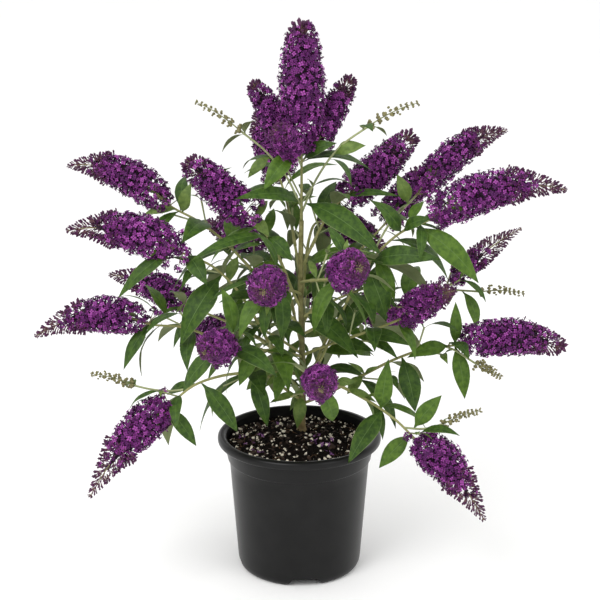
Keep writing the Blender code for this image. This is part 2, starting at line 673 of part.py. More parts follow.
class Plant:
    """Grows every spray, and keeps each one clear of the others and of the limbs."""

    def __init__(self, fixed):
        self.trees = [("fixed", tree) for tree in fixed]
        self.trees += [("open", wedge_tree(wedge)) for wedge in OPEN_WEDGES]
        self.sprays = {}
        trunk = Limb([Vector(p) for p, _ in TRUNK], [r for _, r in TRUNK])
        self.trees.append(("trunk", limb_tree(trunk)))
        for spray in SPRAYS:
            self.start(spray)
        for row in BROAD_LEAVES:
            self.broad_leaf(row)
        for spray in SPRAYS:
            self.dress(spray)

    def start(self, spray):
        """The bough, the stem and the blooms, which nothing else may touch."""
        path = shoot_path(spray)
        share = spray.share
        length = sum((b - a).length for a, b in zip(path, path[1:]))
        parts = {"bough": None, "limbs": [], "leaves": [], "blooms": [], "path": path}
        split_radius = BOUGH_RADIUS + (NECK_RADIUS - BOUGH_RADIUS) * share
        if share:
            radii = [BOUGH_RADIUS + (split_radius - BOUGH_RADIUS) * i / BOUGH_STEPS
                     for i in range(BOUGH_STEPS + 1)]
            bough = Limb(path_between(path, 0, share, BOUGH_STEPS), radii)
            parts["bough"] = bough
            self.trees.append((spray.name, limb_tree(bough, 0.25)))
            share += GAP / length
        else:
            split_radius = STEM_RADIUS
        radii = [split_radius + (NECK_RADIUS - split_radius) * i / STEM_STEPS
                 for i in range(STEM_STEPS + 1)]
        points = path_between(path, share, 1.0, STEM_STEPS)
        if spray.tip:
            kind = "blunt" if spray.name in BLUNT_SPRAYS else "panicle"
            bloom = Bloom(kind, Vector(spray.neck), Vector(spray.tip), spray.radius,
                          spray.arch, 1.0)
            parts["blooms"].append(bloom)
            points.append(bloom_axis(bloom, 0.2))
            radii.append(NECK_RADIUS * 0.9)
        parts["limbs"].append(Limb(points, radii))
        for bloom in spray.extras:
            self.add_extra(spray, parts, bloom, share)
        for limb in parts["limbs"]:
            begin = 0.3 if spray.rise is None or not spray.share else 0.0
            self.trees.append((spray.name, limb_tree(limb, begin)))
        for bloom in parts["blooms"]:
            if bloom.kind != "buds":
                tree = BVHTree.FromPolygons(bloom_points(bloom, BLOOM_ROOM), bloom_faces())
            else:
                tree = limb_tree(Limb([bloom.neck, bloom.tip], [bloom.radius, bloom.radius]))
            self.trees.append((spray.name + " bloom", tree))
        self.sprays[spray.name] = parts

    def add_extra(self, spray, parts, bloom, share):
        """A side twig to a further bloom, bent to meet it."""
        neck, tip = Vector(bloom.neck), Vector(bloom.tip)
        start, along = walk(parts["path"], share + (1 - share) * bloom.fork)
        length = (neck - start).length
        leave = (along + (neck - start).normalized()).normalized() * length
        arrive = (tip - neck).normalized() * length
        steps = 3 if length > 0.05 else 2
        points = [hermite(start, leave, neck, arrive, i / steps) for i in range(steps + 1)]
        if bloom.kind != "buds":
            points.append(bloom_axis(bloom, 0.2))
        radii = [SIDE_TWIG_RADIUS] * len(points)
        parts["limbs"].append(Limb(points, radii))
        parts["blooms"].append(bloom._replace(neck=neck, tip=tip))

    def clear(self, tree, skip=(), only=None):
        """True if nothing else is touched."""
        for owner, other in self.trees:
            if owner in skip or (only and owner not in only):
                continue
            if tree.overlap(other):
                return False
        return True

    def try_leaf(self, parts, name, rng, root, along, sag, length, twig_radius):
        """Fuses on a leaf, turned or shortened if it would touch something, or left out."""
        for attempt in range(LEAF_TRIES):
            turn = rng.uniform(-0.25, 0.25) * (1 + attempt)
            wanted = Matrix.Rotation(turn, 3, "Z") @ along - UP * sag * rng.uniform(0.6, 1.4)
            direction, face = leaf_frame(wanted, rng.uniform(-0.4, 0.4))
            size = length * (1 - 0.12 * attempt)
            leaf = Leaf(root + direction * twig_radius * 0.12, direction, face, size,
                        size * LEAF_WIDTH * rng.uniform(0.88, 1.12))
            whole, outer = leaf_tree(leaf, 0.08), leaf_tree(leaf, 0.4)
            own = (name, name + " leaf", name + " bloom")
            if self.clear(whole, skip=own) and self.clear(outer, only=own[1:]):
                parts["leaves"].append(leaf)
                self.trees.append((name + " leaf", whole))
                return

    def broad_leaf(self, row):
        """One leaf of its own size, from the nearest point of its spray's twigs."""
        parts = self.sprays[row.spray]
        root = nearest_point(parts["limbs"], Vector(row.root))
        reach = Vector(row.tip) - root
        along = reach.normalized()
        face = (BROAD_FACE - along * BROAD_FACE.dot(along)).normalized()
        leaf = Leaf(root, along, face, reach.length, row.width)
        parts["leaves"].append(leaf)
        self.trees.append((row.spray + " leaf", leaf_tree(leaf, 0.08)))

    def pair(self, parts, name, rng, at, along, phase, length, sag, lean, twig_radius):
        """Two opposite leaves at a node."""
        side = along.orthogonal().normalized()
        side = Matrix.Rotation(phase, 3, along) @ side
        for sign in (1, -1):
            wanted = side * sign * math.cos(lean) + along * math.sin(lean)
            self.try_leaf(parts, name, rng, at, wanted, sag,
                          length * rng.uniform(0.85, 1.15), twig_radius)

    def dress(self, spray):
        """Pairs of leaves up the stem, with short leafy twigs at every other node."""
        rng = random.Random(spray.name)
        parts = self.sprays[spray.name]
        path = parts["path"]
        length = sum((b - a).length for a, b in zip(path, path[1:]))
        left = (1 - spray.share) * length
        count = max(2, round(left / INTERNODE))
        phase = rng.uniform(0, math.pi)
        for i in range(count):
            t = (i + 0.35) / (count - 0.35)
            at, along = walk(path, spray.share + (1 - spray.share) * min(t, 0.97))
            radius = STEM_RADIUS + (NECK_RADIUS - STEM_RADIUS) * t
            size = LEAF_LENGTH * (1.0 - 0.45 * max(0.0, t - 0.35))
            self.pair(parts, spray.name, rng, at, along, phase, size,
                      rng.uniform(0.3, 0.75), 0.6, radius)
            if i % 2 == 0:
                self.side_twig(parts, spray.name, rng, at, along, phase + 0.6)
            phase += math.pi / 2
        if not spray.tip:
            at, along = walk(path, 0.99)
            self.pair(parts, spray.name, rng, at, along, phase, LEAF_LENGTH * 0.6,
                      0.1, 0.9, NECK_RADIUS)
        for limb in parts["limbs"][1:1 + len(spray.extras)]:
            for t, size in ((0.55, 0.60), (0.93, 0.42)):
                if (limb.points[-1] - limb.points[0]).length > 0.05:
                    at, along = walk(limb.points, t)
                    self.pair(parts, spray.name, rng, at, along, phase + t, LEAF_LENGTH * size,
                              0.4, 0.6, SIDE_TWIG_RADIUS)

    def side_twig(self, parts, name, rng, at, along, phase):
        """A short leafy twig from the axil of a leaf."""
        side = Matrix.Rotation(phase, 3, along) @ along.orthogonal().normalized()
        for sign in (1, -1):
            direction = (side * sign + along * 0.9 + UP * 0.35).normalized()
            reach = rng.uniform(0.028, 0.045)
            foot = at + along * AXIL_STEP * (1 + 0.5 * sign)
            end = foot + direction * reach
            limb = Limb([foot + direction * 0.0003, end],
                        [SIDE_TWIG_RADIUS * 0.7, SIDE_TWIG_RADIUS * 0.9])
            tree = limb_tree(limb, 0.3)
            if not self.clear(tree, skip=(name,)):
                continue
            parts["limbs"].append(limb)
            self.trees.append((name, tree))
            self.pair(parts, name, rng, end.lerp(foot, 0.06), direction, phase + 1.2,
                      LEAF_LENGTH * 0.56, 0.3, 0.75, SIDE_TWIG_RADIUS)


# Solids of a spray


def from_bmesh(name, bm, home):
    bmesh.ops.recalc_face_normals(bm, faces=bm.faces)
    mesh = bpy.data.meshes.new(name)
    bm.to_mesh(mesh)
    bm.free()
    return mesh_object(name, mesh, home)


def leaf_solid(leaf, home):
    """A thin blade with a rib below: a three-sided loft from its foot over its belly to the tip."""
    mesh = bpy.data.meshes.new("leaf")
    mesh.from_pydata(leaf_points(leaf, leaf.length * LEAF_THICKNESS), [], LEAF_FACES)
    bm = bmesh.new()
    bm.from_mesh(mesh)
    bpy.data.meshes.remove(mesh)
    return from_bmesh("leaf", bm, home)


def bloom_solid(bloom, home):
    """A tapering bloom with a lumpy skin: a ball whose rings are set to the bloom's outline."""
    rings = len(BLOOM_SHAPE)
    places = bloom_points(bloom)
    bm = bmesh.new()
    bmesh.ops.create_uvsphere(bm, u_segments=BLOOM_SIDES, v_segments=rings + 1, radius=1)
    bmesh.ops.triangulate(bm, faces=bm.faces)
    for v in bm.verts:
        level = round((math.pi - math.acos(max(-1, min(1, v.co.z)))) / math.pi * (rings + 1))
        if level == 0:
            v.co = places[0]
        elif level == rings + 1:
            v.co = places[-1]
        else:
            i = round(math.atan2(v.co.y, v.co.x) / (2 * math.pi) * BLOOM_SIDES) % BLOOM_SIDES
            v.co = places[1 + (level - 1) * BLOOM_SIDES + i]
    return from_bmesh("bloom", bm, home)


def bud_solids(bloom, home):
    """A bud spike: a thin stalk with opposite buds that get smaller towards the tip."""
    span = bloom.tip - bloom.neck
    axis = span.normalized()
    side = axis.orthogonal().normalized()
    stalk = [bloom.neck, bloom.neck + span * 0.5, bloom.tip - span * 0.03]
    tube("stalk", stalk, [0.0011, 0.0009, 0.0007], TWIG_SIDES, home)
    spots = []
    for k in range(BUD_PAIRS):
        t = 0.12 + 0.72 * (k / (BUD_PAIRS - 1)) ** 0.8
        size = bloom.radius * (0.50 - 0.20 * t)
        spread = Matrix.Rotation(k * math.pi / 2, 3, axis) @ side
        for sign in (1, -1):
            spots.append((bloom.neck + span * t + spread * sign * size * 0.95, size))
    spots.append((bloom.tip - axis * bloom.radius * 0.55, bloom.radius * 0.42))
    for place, size in spots:
        bm = bmesh.new()
        bmesh.ops.create_uvsphere(bm, u_segments=4, v_segments=2, radius=size)
        turn = axis.to_track_quat("Z", "Y").to_matrix().to_4x4()
        stretch = Matrix.Diagonal((1, 1, 1.35, 1))
        bmesh.ops.transform(bm, matrix=Matrix.Translation(place) @ turn @ stretch, verts=bm.verts)
        from_bmesh("bud", bm, home)


def shells(bm):
    """The mesh's separate closed skins, as lists of faces."""
    found, seen = [], set()
    for face in bm.faces:
        if face in seen:
            continue
        group, todo = [], [face]
        seen.add(face)
        while todo:
            here = todo.pop()
            group.append(here)
            for edge in here.edges:
                for near in edge.link_faces:
                    if near not in seen:
                        seen.add(near)
                        todo.append(near)
        found.append(group)
    return found


def keep_largest(ob):
    """Welds the mesh, drops loose scraps and fills sealed hollows; True if it is closed."""
    bm = bmesh.new()
    bm.from_mesh(ob.data)
    bmesh.ops.remove_doubles(bm, verts=bm.verts, dist=WELD)
    idle = [v for v in bm.verts if len(v.link_edges) == 2]
    bmesh.ops.dissolve_verts(bm, verts=idle)
    bmesh.ops.triangulate(bm, faces=bm.faces, quad_method="SHORT_EDGE", ngon_method="EAR_CLIP")
    groups = sorted(shells(bm), key=len)
    for group in groups[:-1]:
        bmesh.ops.delete(bm, geom=group, context="FACES")
    loose = [v for v in bm.verts if not v.link_faces]
    bmesh.ops.delete(bm, geom=loose, context="VERTS")
    closed = all(len(edge.link_faces) == 2 for edge in bm.edges)
    bm.to_mesh(ob.data)
    bm.free()
    return closed


def make_limb(name, limb, sides, home):
    return tube(name, limb.points, limb.radii, sides, home)


def make_spray(name, parts, home, pieces, trunk_cutter, solver="EXACT"):
    """Fuses stem, twigs, leaves and blooms into one solid."""
    spray = make_limb(name, parts["limbs"][0], TWIG_SIDES, home)
    if not parts["bough"] and trunk_cutter:
        boolean(spray, trunk_cutter, "DIFFERENCE")
        keep_largest(spray)
    for limb in parts["limbs"][1:]:
        make_limb("twig", limb, TWIG_SIDES, pieces)
    for leaf in parts["leaves"]:
        leaf_solid(leaf, pieces)
    for bloom in parts["blooms"]:
        if bloom.kind != "buds":
            bloom_solid(bloom, pieces)
        else:
            bud_solids(bloom, pieces)
    boolean(spray, pieces, "UNION", solver)
    closed = keep_largest(spray)
    for piece in list(pieces.objects):
        mesh = piece.data
        bpy.data.objects.remove(piece, do_unlink=True)
        bpy.data.meshes.remove(mesh)
    return spray, closed


def fused_spray(name, parts, home, pieces, cutter):
    """The spray as one closed solid, if need be by another solver or with one leaf less."""
    leaves = parts["leaves"]
    trials = [(leaves, "EXACT"), (leaves, "MANIFOLD")]
    trials += [(leaves[:k] + leaves[k + 1:], "EXACT") for k in range(len(leaves))]
    for kept, solver in trials:
        parts["leaves"] = kept
        spray, closed = make_spray("spray_" + name, parts, home, pieces, cutter, solver)
        if closed:
            return spray
        bpy.data.objects.remove(spray, do_unlink=True)
    raise RuntimeError(name + " can't be fused into one closed solid")


def fixed_trees(*objects):
    found = []
    for ob in objects:
        places = [v.co.copy() for v in ob.data.vertices]
        found.append(BVHTree.FromPolygons(places, [list(p.vertices) for p in ob.data.polygons]))
    return found


def main():
    clear_scene()
    plant_home = collection("potted_butterfly_bush")
    tools = collection("cutters")
    pieces = collection("pieces")
    plastic = material("pot_plastic", (0.030, 0.030, 0.031), 0.45)
    earth = material("potting_soil", (0.030, 0.020, 0.014), 0.95)
    bark = material("green_bark", (0.27, 0.25, 0.11), 0.70)
    foliage = material("foliage", (0.10, 0.19, 0.05), 0.60)

    pot = make_pot(plant_home, tools, plastic)
    soil = make_soil(plant_home, earth)
    trunk_points = [Vector(place) for place, _ in TRUNK]
    trunk = tube("trunk", trunk_points, [r for _, r in TRUNK], TRUNK_SIDES, plant_home)
    finish(trunk, bark, True)
    wider = 1 / math.cos(math.pi / TRUNK_SIDES)
    room_radii = [r + GAP * wider for _, r in TRUNK]
    trunk_cutter = as_cutter(tube("trunk_room", trunk_points, room_radii, TRUNK_SIDES, tools))

    plant = Plant(fixed_trees(pot, soil))
    for name, parts in plant.sprays.items():
        if parts["bough"]:
            bough = make_limb("bough_" + name, parts["bough"], BOUGH_SIDES, plant_home)
            boolean(bough, trunk_cutter, "DIFFERENCE")
            keep_largest(bough)
            finish(bough, bark, True)
        cutter = None if name == "crown" else trunk_cutter
        spray = fused_spray(name, parts, plant_home, pieces, cutter)
        finish(spray, foliage, False)

    for cutter in list(tools.objects):
        bpy.data.objects.remove(cutter, do_unlink=True)


main()
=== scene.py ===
"""Looks of the potted butterfly bush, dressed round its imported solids.

Metres, +Z up, -Y is the front. The bush grows here by the same seeded rule as its solids, and is
carried on to leaf stalks, single florets, bud sticks, bud spikes and young leaves in the axils.
"""

import json
import math
import random
from collections import namedtuple

import bmesh
import bpy
import numpy as np
from mathutils import Matrix, Vector
from mathutils.bvhtree import BVHTree

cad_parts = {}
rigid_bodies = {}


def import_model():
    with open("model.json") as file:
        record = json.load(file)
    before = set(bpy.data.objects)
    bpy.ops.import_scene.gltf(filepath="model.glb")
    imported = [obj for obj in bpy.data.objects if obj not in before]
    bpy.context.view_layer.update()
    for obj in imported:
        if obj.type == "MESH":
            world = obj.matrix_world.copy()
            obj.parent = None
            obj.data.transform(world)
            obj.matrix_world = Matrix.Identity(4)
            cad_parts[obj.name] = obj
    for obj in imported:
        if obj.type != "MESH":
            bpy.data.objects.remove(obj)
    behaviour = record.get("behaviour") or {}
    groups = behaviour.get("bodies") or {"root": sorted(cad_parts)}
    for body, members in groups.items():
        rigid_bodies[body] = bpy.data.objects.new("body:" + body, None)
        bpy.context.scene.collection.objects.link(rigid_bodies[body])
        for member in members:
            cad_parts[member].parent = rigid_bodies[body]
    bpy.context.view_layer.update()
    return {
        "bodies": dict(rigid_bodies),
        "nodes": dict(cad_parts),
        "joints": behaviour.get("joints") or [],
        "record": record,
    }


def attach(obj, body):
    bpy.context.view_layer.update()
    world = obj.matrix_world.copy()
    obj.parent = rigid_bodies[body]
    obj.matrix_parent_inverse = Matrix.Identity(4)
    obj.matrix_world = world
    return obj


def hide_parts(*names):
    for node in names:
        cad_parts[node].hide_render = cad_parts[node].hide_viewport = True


UP = Vector((0, 0, 1))
GAP = 0.0003
SOIL_MOUND = 0.182

# Stem: from the flat cut on the soil to the foot of the crown spray
TRUNK = (
    # place, radius
    ((0.0030, 0.0150, SOIL_MOUND + GAP), 0.0085),
    ((0.0030, 0.0150, 0.1865), 0.0064),
    ((0.0032, 0.0147, 0.1950), 0.0056),
    ((0.0045, 0.0130, 0.2500), 0.0050),
    ((0.0030, 0.0110, 0.3200), 0.0045),
    ((0.0015, 0.0095, 0.3950), 0.0040),
    ((0.0028, 0.0080, 0.4700), 0.0034),
)

# Boughs and the stems of the sprays taper from the trunk to the bloom
BOUGH_RADIUS = 0.0027
STEM_RADIUS = 0.0021
NECK_RADIUS = 0.0014
SIDE_TWIG_RADIUS = 0.0014
LONG_TWIG = 0.05
AXIL_STEP = 0.0060
PATH_STEPS = 9
BOUGH_STEPS = 4
STEM_STEPS = 4

# Leaves stand in opposite pairs, each pair turned a quarter from the last
INTERNODE = 0.044
LEAF_LENGTH = 0.098
LEAF_WIDTH = 0.38
LEAF_ARCH = 0.13
LEAF_FOOT = 0.0004
LEAF_BELLY = 0.42
LEAF_TRIES = 4
LEAF_FACES = ((0, 2, 1), (0, 1, 4), (0, 4, 3), (1, 2, 5), (1, 5, 4), (2, 0, 3), (2, 3, 5),
              (3, 4, 6), (4, 5, 6), (5, 3, 6))

# Young leaves, which the solids leave out: on the stems, at the ends of the twigs, and how near
# the middle and how low the stems bear them in the shade
YOUNG_LEAF = 0.030
TUFT_LEAF = 0.021
SHADE_REACH = 0.10
SHADE_TOP = 0.34

# A panicle swells soon after its foot and tapers to its tip; those on the upper shoots are blunter
BLOOM_SHAPE = (
    # share of the length, share of the radius
    (0.06, 0.60), (0.20, 0.96), (0.38, 1.0), (0.58, 0.83), (0.76, 0.50), (0.91, 0.28),
)
BLUNT_SPRAYS = ("crown", "left_upper", "right_upper", "right_low")
BLUNT_POWER = 0.35
BLUNT_FROM = 0.5
BLOOM_SIDES = 7
BLOOM_LUMP = 0.08
BLOOM_HOLD = 0.2

# Room kept round leaves, limbs and blooms
LEAF_ROOM = 0.0008
LEAF_ROOM_BELOW = 0.004
LIMB_ROOM = 0.0016
BLOOM_ROOM = 0.0015

Limb = namedtuple("Limb", "points radii")
Leaf = namedtuple("Leaf", "root along face length width")
Bloom = namedtuple("Bloom", "kind neck tip radius arch fork")
Spray = namedtuple("Spray", "name rise share steep neck tip radius arch extras",
                   defaults=(None, 0.0, 0.07, ()))

# A spray leaves the stem at height rise, steep degrees above level. Its bough takes share of
# the way to neck, where the bloom begins, and the bloom ends at tip. The bloom's middle stands
# arch times its level reach above the straight line from neck to tip. Further blooms grow on side
# twigs, which leave the stem at share fork of its way. Twenty sprays began as points picked on the
# photograph. A scratch program turned these to metres with a guessed depth, and most were then
# shifted by up to 12 mm. The other eight, four at the rear and the inner ones, are made up.
SPRAYS = (
    Spray("crown", None, 0.0, 88, (0.003, 0.005, 0.562), (0.003, -0.018, 0.722), 0.031, 0.07, (
        Bloom("blunt", (-0.012, 0.014, 0.560), (-0.058, 0.032, 0.642), 0.020, 0.07, 0.86),
        Bloom("blunt", (0.021, 0.014, 0.566), (0.066, 0.032, 0.649), 0.019, 0.07, 0.82),
        Bloom("panicle", (-0.007, -0.022, 0.562), (-0.028, -0.098, 0.604), 0.019, 0.07, 0.76),
        Bloom("buds", (-0.074, -0.014, 0.590), (-0.126, -0.024, 0.626), 0.006, 0.0, 0.18),
        Bloom("buds", (0.087, -0.020, 0.597), (0.144, -0.030, 0.626), 0.006, 0.0, 0.10),
    )),
    Spray("left_upper", 0.352, 0.35, 62, (-0.060, -0.020, 0.480), (-0.140, -0.022, 0.555), 0.026, 0.0),
    Spray("left_high", 0.325, 0.34, 48, (-0.165, 0.040, 0.481), (-0.301, 0.070, 0.529), 0.025, 0.135),
    Spray("left_mid", 0.234, 0.34, 50, (-0.146, -0.040, 0.440), (-0.282, -0.080, 0.478), 0.027, 0.1),
    Spray("left_rear", 0.268, 0.34, 36, (-0.139, 0.090, 0.328), (-0.262, 0.140, 0.363), 0.023),
    Spray("left_low", 0.224, 0.34, 36, (-0.188, -0.030, 0.343), (-0.331, -0.060, 0.337), 0.025, 0.14),
    Spray("left_drooping", 0.262, 0.26, 12, (-0.161, -0.100, 0.261), (-0.256, -0.160, 0.163), 0.026, 0.14, (
        Bloom("buds", (-0.208, -0.088, 0.282), (-0.256, -0.100, 0.301), 0.006, 0.0, 0.80),
    )),
    Spray("right_high", 0.236, 0.46, 58, (0.163, -0.030, 0.480), (0.325, -0.060, 0.524), 0.027, 0.13, (
        Bloom("panicle", (0.150, 0.050, 0.492), (0.271, 0.090, 0.572), 0.022, 0.15, 0.20),
    )),
    Spray("right_upper", 0.408, 0.30, 48, (0.052, 0.050, 0.486), (0.150, 0.090, 0.570), 0.026, -0.05),
    Spray("right_rear", 0.316, 0.36, 30, (0.201, 0.070, 0.368), (0.300, 0.110, 0.436), 0.015, 0.07, (
        Bloom("buds", (0.240, 0.050, 0.364), (0.296, 0.050, 0.362), 0.006, 0.0, 0.86),
    )),
    Spray("right_low", 0.220, 0.30, 22, (0.203, -0.030, 0.316), (0.335, -0.050, 0.318), 0.025, 0.1, (
        Bloom("buds", (0.224, -0.056, 0.299), (0.254, -0.064, 0.284), 0.006, 0.0, 0.88),
    )),
    Spray("right_drooping", 0.272, 0.28, -14, (0.147, -0.100, 0.213), (0.227, -0.160, 0.132), 0.026, 0.14, (
        Bloom("buds", (0.180, -0.100, 0.235), (0.224, -0.110, 0.256), 0.006, 0.0, 0.84),
    )),
    Spray("right_mid", 0.288, 0.30, 30, (0.130, -0.055, 0.360), (0.185, -0.130, 0.416), 0.022),
    Spray("front_left", 0.372, 0.24, 24, (-0.036, -0.140, 0.420), (-0.040, -0.250, 0.446), 0.024),
    Spray("front_right", 0.388, 0.24, 20, (0.050, -0.130, 0.432), (0.069, -0.240, 0.471), 0.024),
    Spray("front_low_left", 0.286, 0.24, 26, (-0.090, -0.130, 0.341), (-0.108, -0.240, 0.373), 0.022),
    Spray("front_low", 0.262, 0.24, 22, (0.023, -0.140, 0.300), (0.026, -0.250, 0.331), 0.022),
    Spray("rear_left", 0.300, 0.30, 50, (-0.045, 0.110, 0.400), (-0.135, 0.205, 0.420), 0.024),
    Spray("rear_right", 0.360, 0.30, 55, (0.034, 0.105, 0.446), (0.126, 0.200, 0.378), 0.022),
    Spray("rear_right_low", 0.236, 0.30, 40, (0.080, 0.120, 0.318), (0.166, 0.210, 0.261), 0.023),
    Spray("rear_high", 0.395, 0.30, 55, (-0.025, 0.095, 0.505), (-0.060, 0.190, 0.580), 0.024),
    Spray("rear_left_low", 0.252, 0.30, 25, (-0.090, 0.150, 0.275), (-0.165, 0.262, 0.225), 0.025),
    Spray("rear_low", 0.274, 0.30, 35, (0.010, 0.165, 0.330), (0.022, 0.300, 0.322), 0.025),
    Spray("rear_right_high", 0.330, 0.30, 45, (0.118, 0.128, 0.440), (0.196, 0.222, 0.500), 0.024),
    Spray("inner_front", 0.232, 0.0, 30, (-0.010, -0.075, 0.262)),
    Spray("inner_left", 0.290, 0.0, 35, (-0.080, 0.020, 0.335)),
    Spray("inner_right", 0.340, 0.0, 30, (0.085, 0.010, 0.380)),
    Spray("inner_rear", 0.226, 0.0, 30, (0.012, 0.100, 0.262)),
)

# Broad leaves that the front of the bush shows singly: root, tip and width. Each grows from the
# twig of its spray that passes nearest to root, and faces the front. Roots, tips and widths were
# picked on the photograph. The rows are what a scratch program made of them: root on the nearest
# twig, tip at a guessed depth, all in metres. They aren't worked out here.
BROAD_LEAVES = {
    "left_high": (
        ((-0.151, 0.037, 0.474), (-0.139, 0.027, 0.515), 0.019),
        ((-0.158, 0.039, 0.478), (-0.202, 0.039, 0.473), 0.012),
        ((-0.061, 0.021, 0.400), (-0.092, 0.021, 0.350), 0.018),
        ((-0.079, 0.024, 0.420), (-0.094, 0.014, 0.385), 0.016),
    ),
    "left_mid": (
        ((-0.154, -0.042, 0.444), (-0.227, -0.072, 0.392), 0.020),
        ((-0.139, -0.038, 0.436), (-0.114, -0.078, 0.411), 0.023),
        ((-0.098, -0.025, 0.407), (-0.152, -0.065, 0.327), 0.037),
    ),
    "left_upper": (
        ((-0.039, -0.018, 0.456), (-0.133, -0.078, 0.444), 0.018),
        ((-0.019, -0.007, 0.411), (-0.062, -0.037, 0.417), 0.018),
        ((-0.039, -0.018, 0.456), (-0.009, -0.038, 0.431), 0.023),
        ((-0.060, -0.020, 0.481), (-0.037, -0.030, 0.459), 0.018),
    ),
    "crown": (
        ((0.001, 0.008, 0.491), (-0.073, -0.067, 0.520), 0.022),
        ((-0.005, -0.022, 0.560), (-0.044, -0.052, 0.525), 0.024),
        ((0.006, 0.008, 0.550), (0.043, -0.022, 0.577), 0.020),
        ((0.008, 0.006, 0.493), (0.102, -0.054, 0.446), 0.034),
        ((-0.036, -0.004, 0.555), (-0.065, -0.014, 0.531), 0.014),
        ((0.044, -0.008, 0.559), (0.081, -0.018, 0.573), 0.019),
    ),
    "right_high": (
        ((0.127, -0.023, 0.462), (0.091, -0.043, 0.508), 0.027),
        ((0.090, -0.014, 0.420), (0.171, -0.064, 0.442), 0.027),
        ((0.145, -0.026, 0.471), (0.226, -0.056, 0.408), 0.030),
        ((0.141, 0.044, 0.484), (0.127, 0.044, 0.523), 0.019),
        ((0.131, -0.024, 0.464), (0.161, -0.054, 0.489), 0.019),
        ((0.086, -0.012, 0.413), (0.111, -0.042, 0.352), 0.035),
        ((0.095, -0.015, 0.427), (0.122, -0.035, 0.377), 0.020),
    ),
    "right_upper": (
        ((0.052, 0.052, 0.498), (0.127, 0.022, 0.502), 0.011),
    ),
    "left_low": (
        ((-0.191, -0.031, 0.344), (-0.225, -0.051, 0.290), 0.019),
    ),
    "front_low_left": (
        ((-0.090, -0.152, 0.357), (-0.143, -0.152, 0.296), 0.023),
        ((-0.076, -0.099, 0.336), (-0.122, -0.119, 0.351), 0.014),
        ((-0.052, -0.060, 0.322), (-0.076, -0.080, 0.279), 0.020),
    ),
    "left_drooping": (
        ((-0.127, -0.077, 0.280), (-0.171, -0.057, 0.259), 0.015),
        ((-0.123, -0.075, 0.280), (-0.076, -0.085, 0.218), 0.024),
        ((-0.165, -0.102, 0.258), (-0.127, -0.112, 0.210), 0.019),
        ((-0.061, -0.032, 0.279), (-0.040, -0.052, 0.212), 0.022),
        ((-0.042, -0.019, 0.275), (-0.069, -0.029, 0.255), 0.016),
    ),
    "inner_right": (
        ((0.011, 0.011, 0.345), (0.073, -0.059, 0.313), 0.033),
    ),
    "right_mid": (
        ((0.081, -0.023, 0.331), (0.140, -0.053, 0.325), 0.018),
        ((0.045, -0.007, 0.312), (0.095, -0.027, 0.308), 0.020),
    ),
    "right_low": (
        ((0.191, -0.028, 0.314), (0.138, -0.048, 0.307), 0.022),
        ((0.132, -0.017, 0.296), (0.151, -0.037, 0.227), 0.029),
        ((0.199, -0.029, 0.315), (0.213, -0.049, 0.249), 0.022),
        ((0.199, -0.029, 0.315), (0.200, -0.019, 0.370), 0.016),
        ((0.082, -0.005, 0.266), (0.062, -0.015, 0.244), 0.016),
    ),
    "right_drooping": (
        ((0.104, -0.066, 0.242), (0.111, -0.076, 0.310), 0.023),
        ((0.144, -0.092, 0.226), (0.178, -0.082, 0.267), 0.022),
        ((0.140, -0.095, 0.219), (0.099, -0.105, 0.178), 0.022),
        ((0.106, -0.068, 0.241), (0.061, -0.114, 0.190), 0.027),
    ),
    "front_low": (
        ((0.023, -0.140, 0.307), (0.044, -0.120, 0.243), 0.022),
        ((0.006, -0.028, 0.284), (0.019, -0.052, 0.258), 0.018),
    ),
    "inner_front": (
        ((0.004, 0.014, 0.232), (-0.003, -0.006, 0.193), 0.018),
    ),
    "rear_left": (
        ((-0.014, 0.056, 0.354), (-0.072, 0.020, 0.338), 0.018),
    ),
    "rear_right": (
        ((0.010, 0.038, 0.405), (0.077, 0.008, 0.433), 0.020),
    ),
    "inner_rear": (
        ((0.005, 0.030, 0.235), (-0.012, 0.020, 0.210), 0.012),
    ),
}

# Small leaves in the shade round the stem's lower half, each seen through the others. Their rows
# were made in the same way.
SHADE_LEAVES = {
    "rear_right_low": (
        ((0.028, 0.050, 0.279), (0.098, 0.050, 0.284), 0.019),
        ((0.041, 0.069, 0.300), (0.004, 0.089, 0.290), 0.012),
    ),
    "right_low": (
        ((0.082, -0.005, 0.266), (0.066, -0.025, 0.250), 0.012),
        ((0.085, -0.006, 0.268), (0.064, -0.016, 0.288), 0.007),
        ((0.085, -0.006, 0.268), (0.102, -0.016, 0.283), 0.006),
    ),
    "right_drooping": (
        ((0.062, -0.033, 0.257), (0.098, -0.053, 0.248), 0.011),
        ((0.046, -0.021, 0.261), (0.073, -0.031, 0.267), 0.012),
    ),
    "rear_left_low": (
        ((-0.023, 0.053, 0.271), (-0.033, 0.043, 0.247), 0.012),
        ((-0.023, 0.053, 0.271), (-0.032, 0.063, 0.245), 0.016),
    ),
    "inner_front": (
        ((-0.003, -0.030, 0.250), (-0.038, -0.040, 0.242), 0.011),
    ),
    "inner_rear": (
        ((0.005, 0.030, 0.235), (-0.013, 0.020, 0.208), 0.012),
    ),
    "front_low_left": (
        ((-0.021, -0.020, 0.303), (-0.040, -0.030, 0.306), 0.012),
    ),
    "right_mid": (
        ((0.056, -0.010, 0.316), (0.024, -0.010, 0.327), 0.012),
        ((0.046, -0.006, 0.311), (0.097, 0.014, 0.288), 0.020),
    ),
    "left_drooping": (
        ((-0.067, -0.037, 0.280), (-0.036, -0.037, 0.280), 0.014),
        ((-0.039, -0.017, 0.274), (-0.063, -0.017, 0.239), 0.016),
        ((-0.073, -0.041, 0.281), (-0.053, -0.031, 0.299), 0.015),
    ),
    "left_upper": (
        ((-0.055, -0.019, 0.475), (-0.040, 0.011, 0.498), 0.011),
    ),
    "front_right": (
        ((0.022, -0.042, 0.405), (0.012, -0.012, 0.426), 0.010),
    ),
}
BROAD_FACE = Vector((0, -0.8, 0.7))

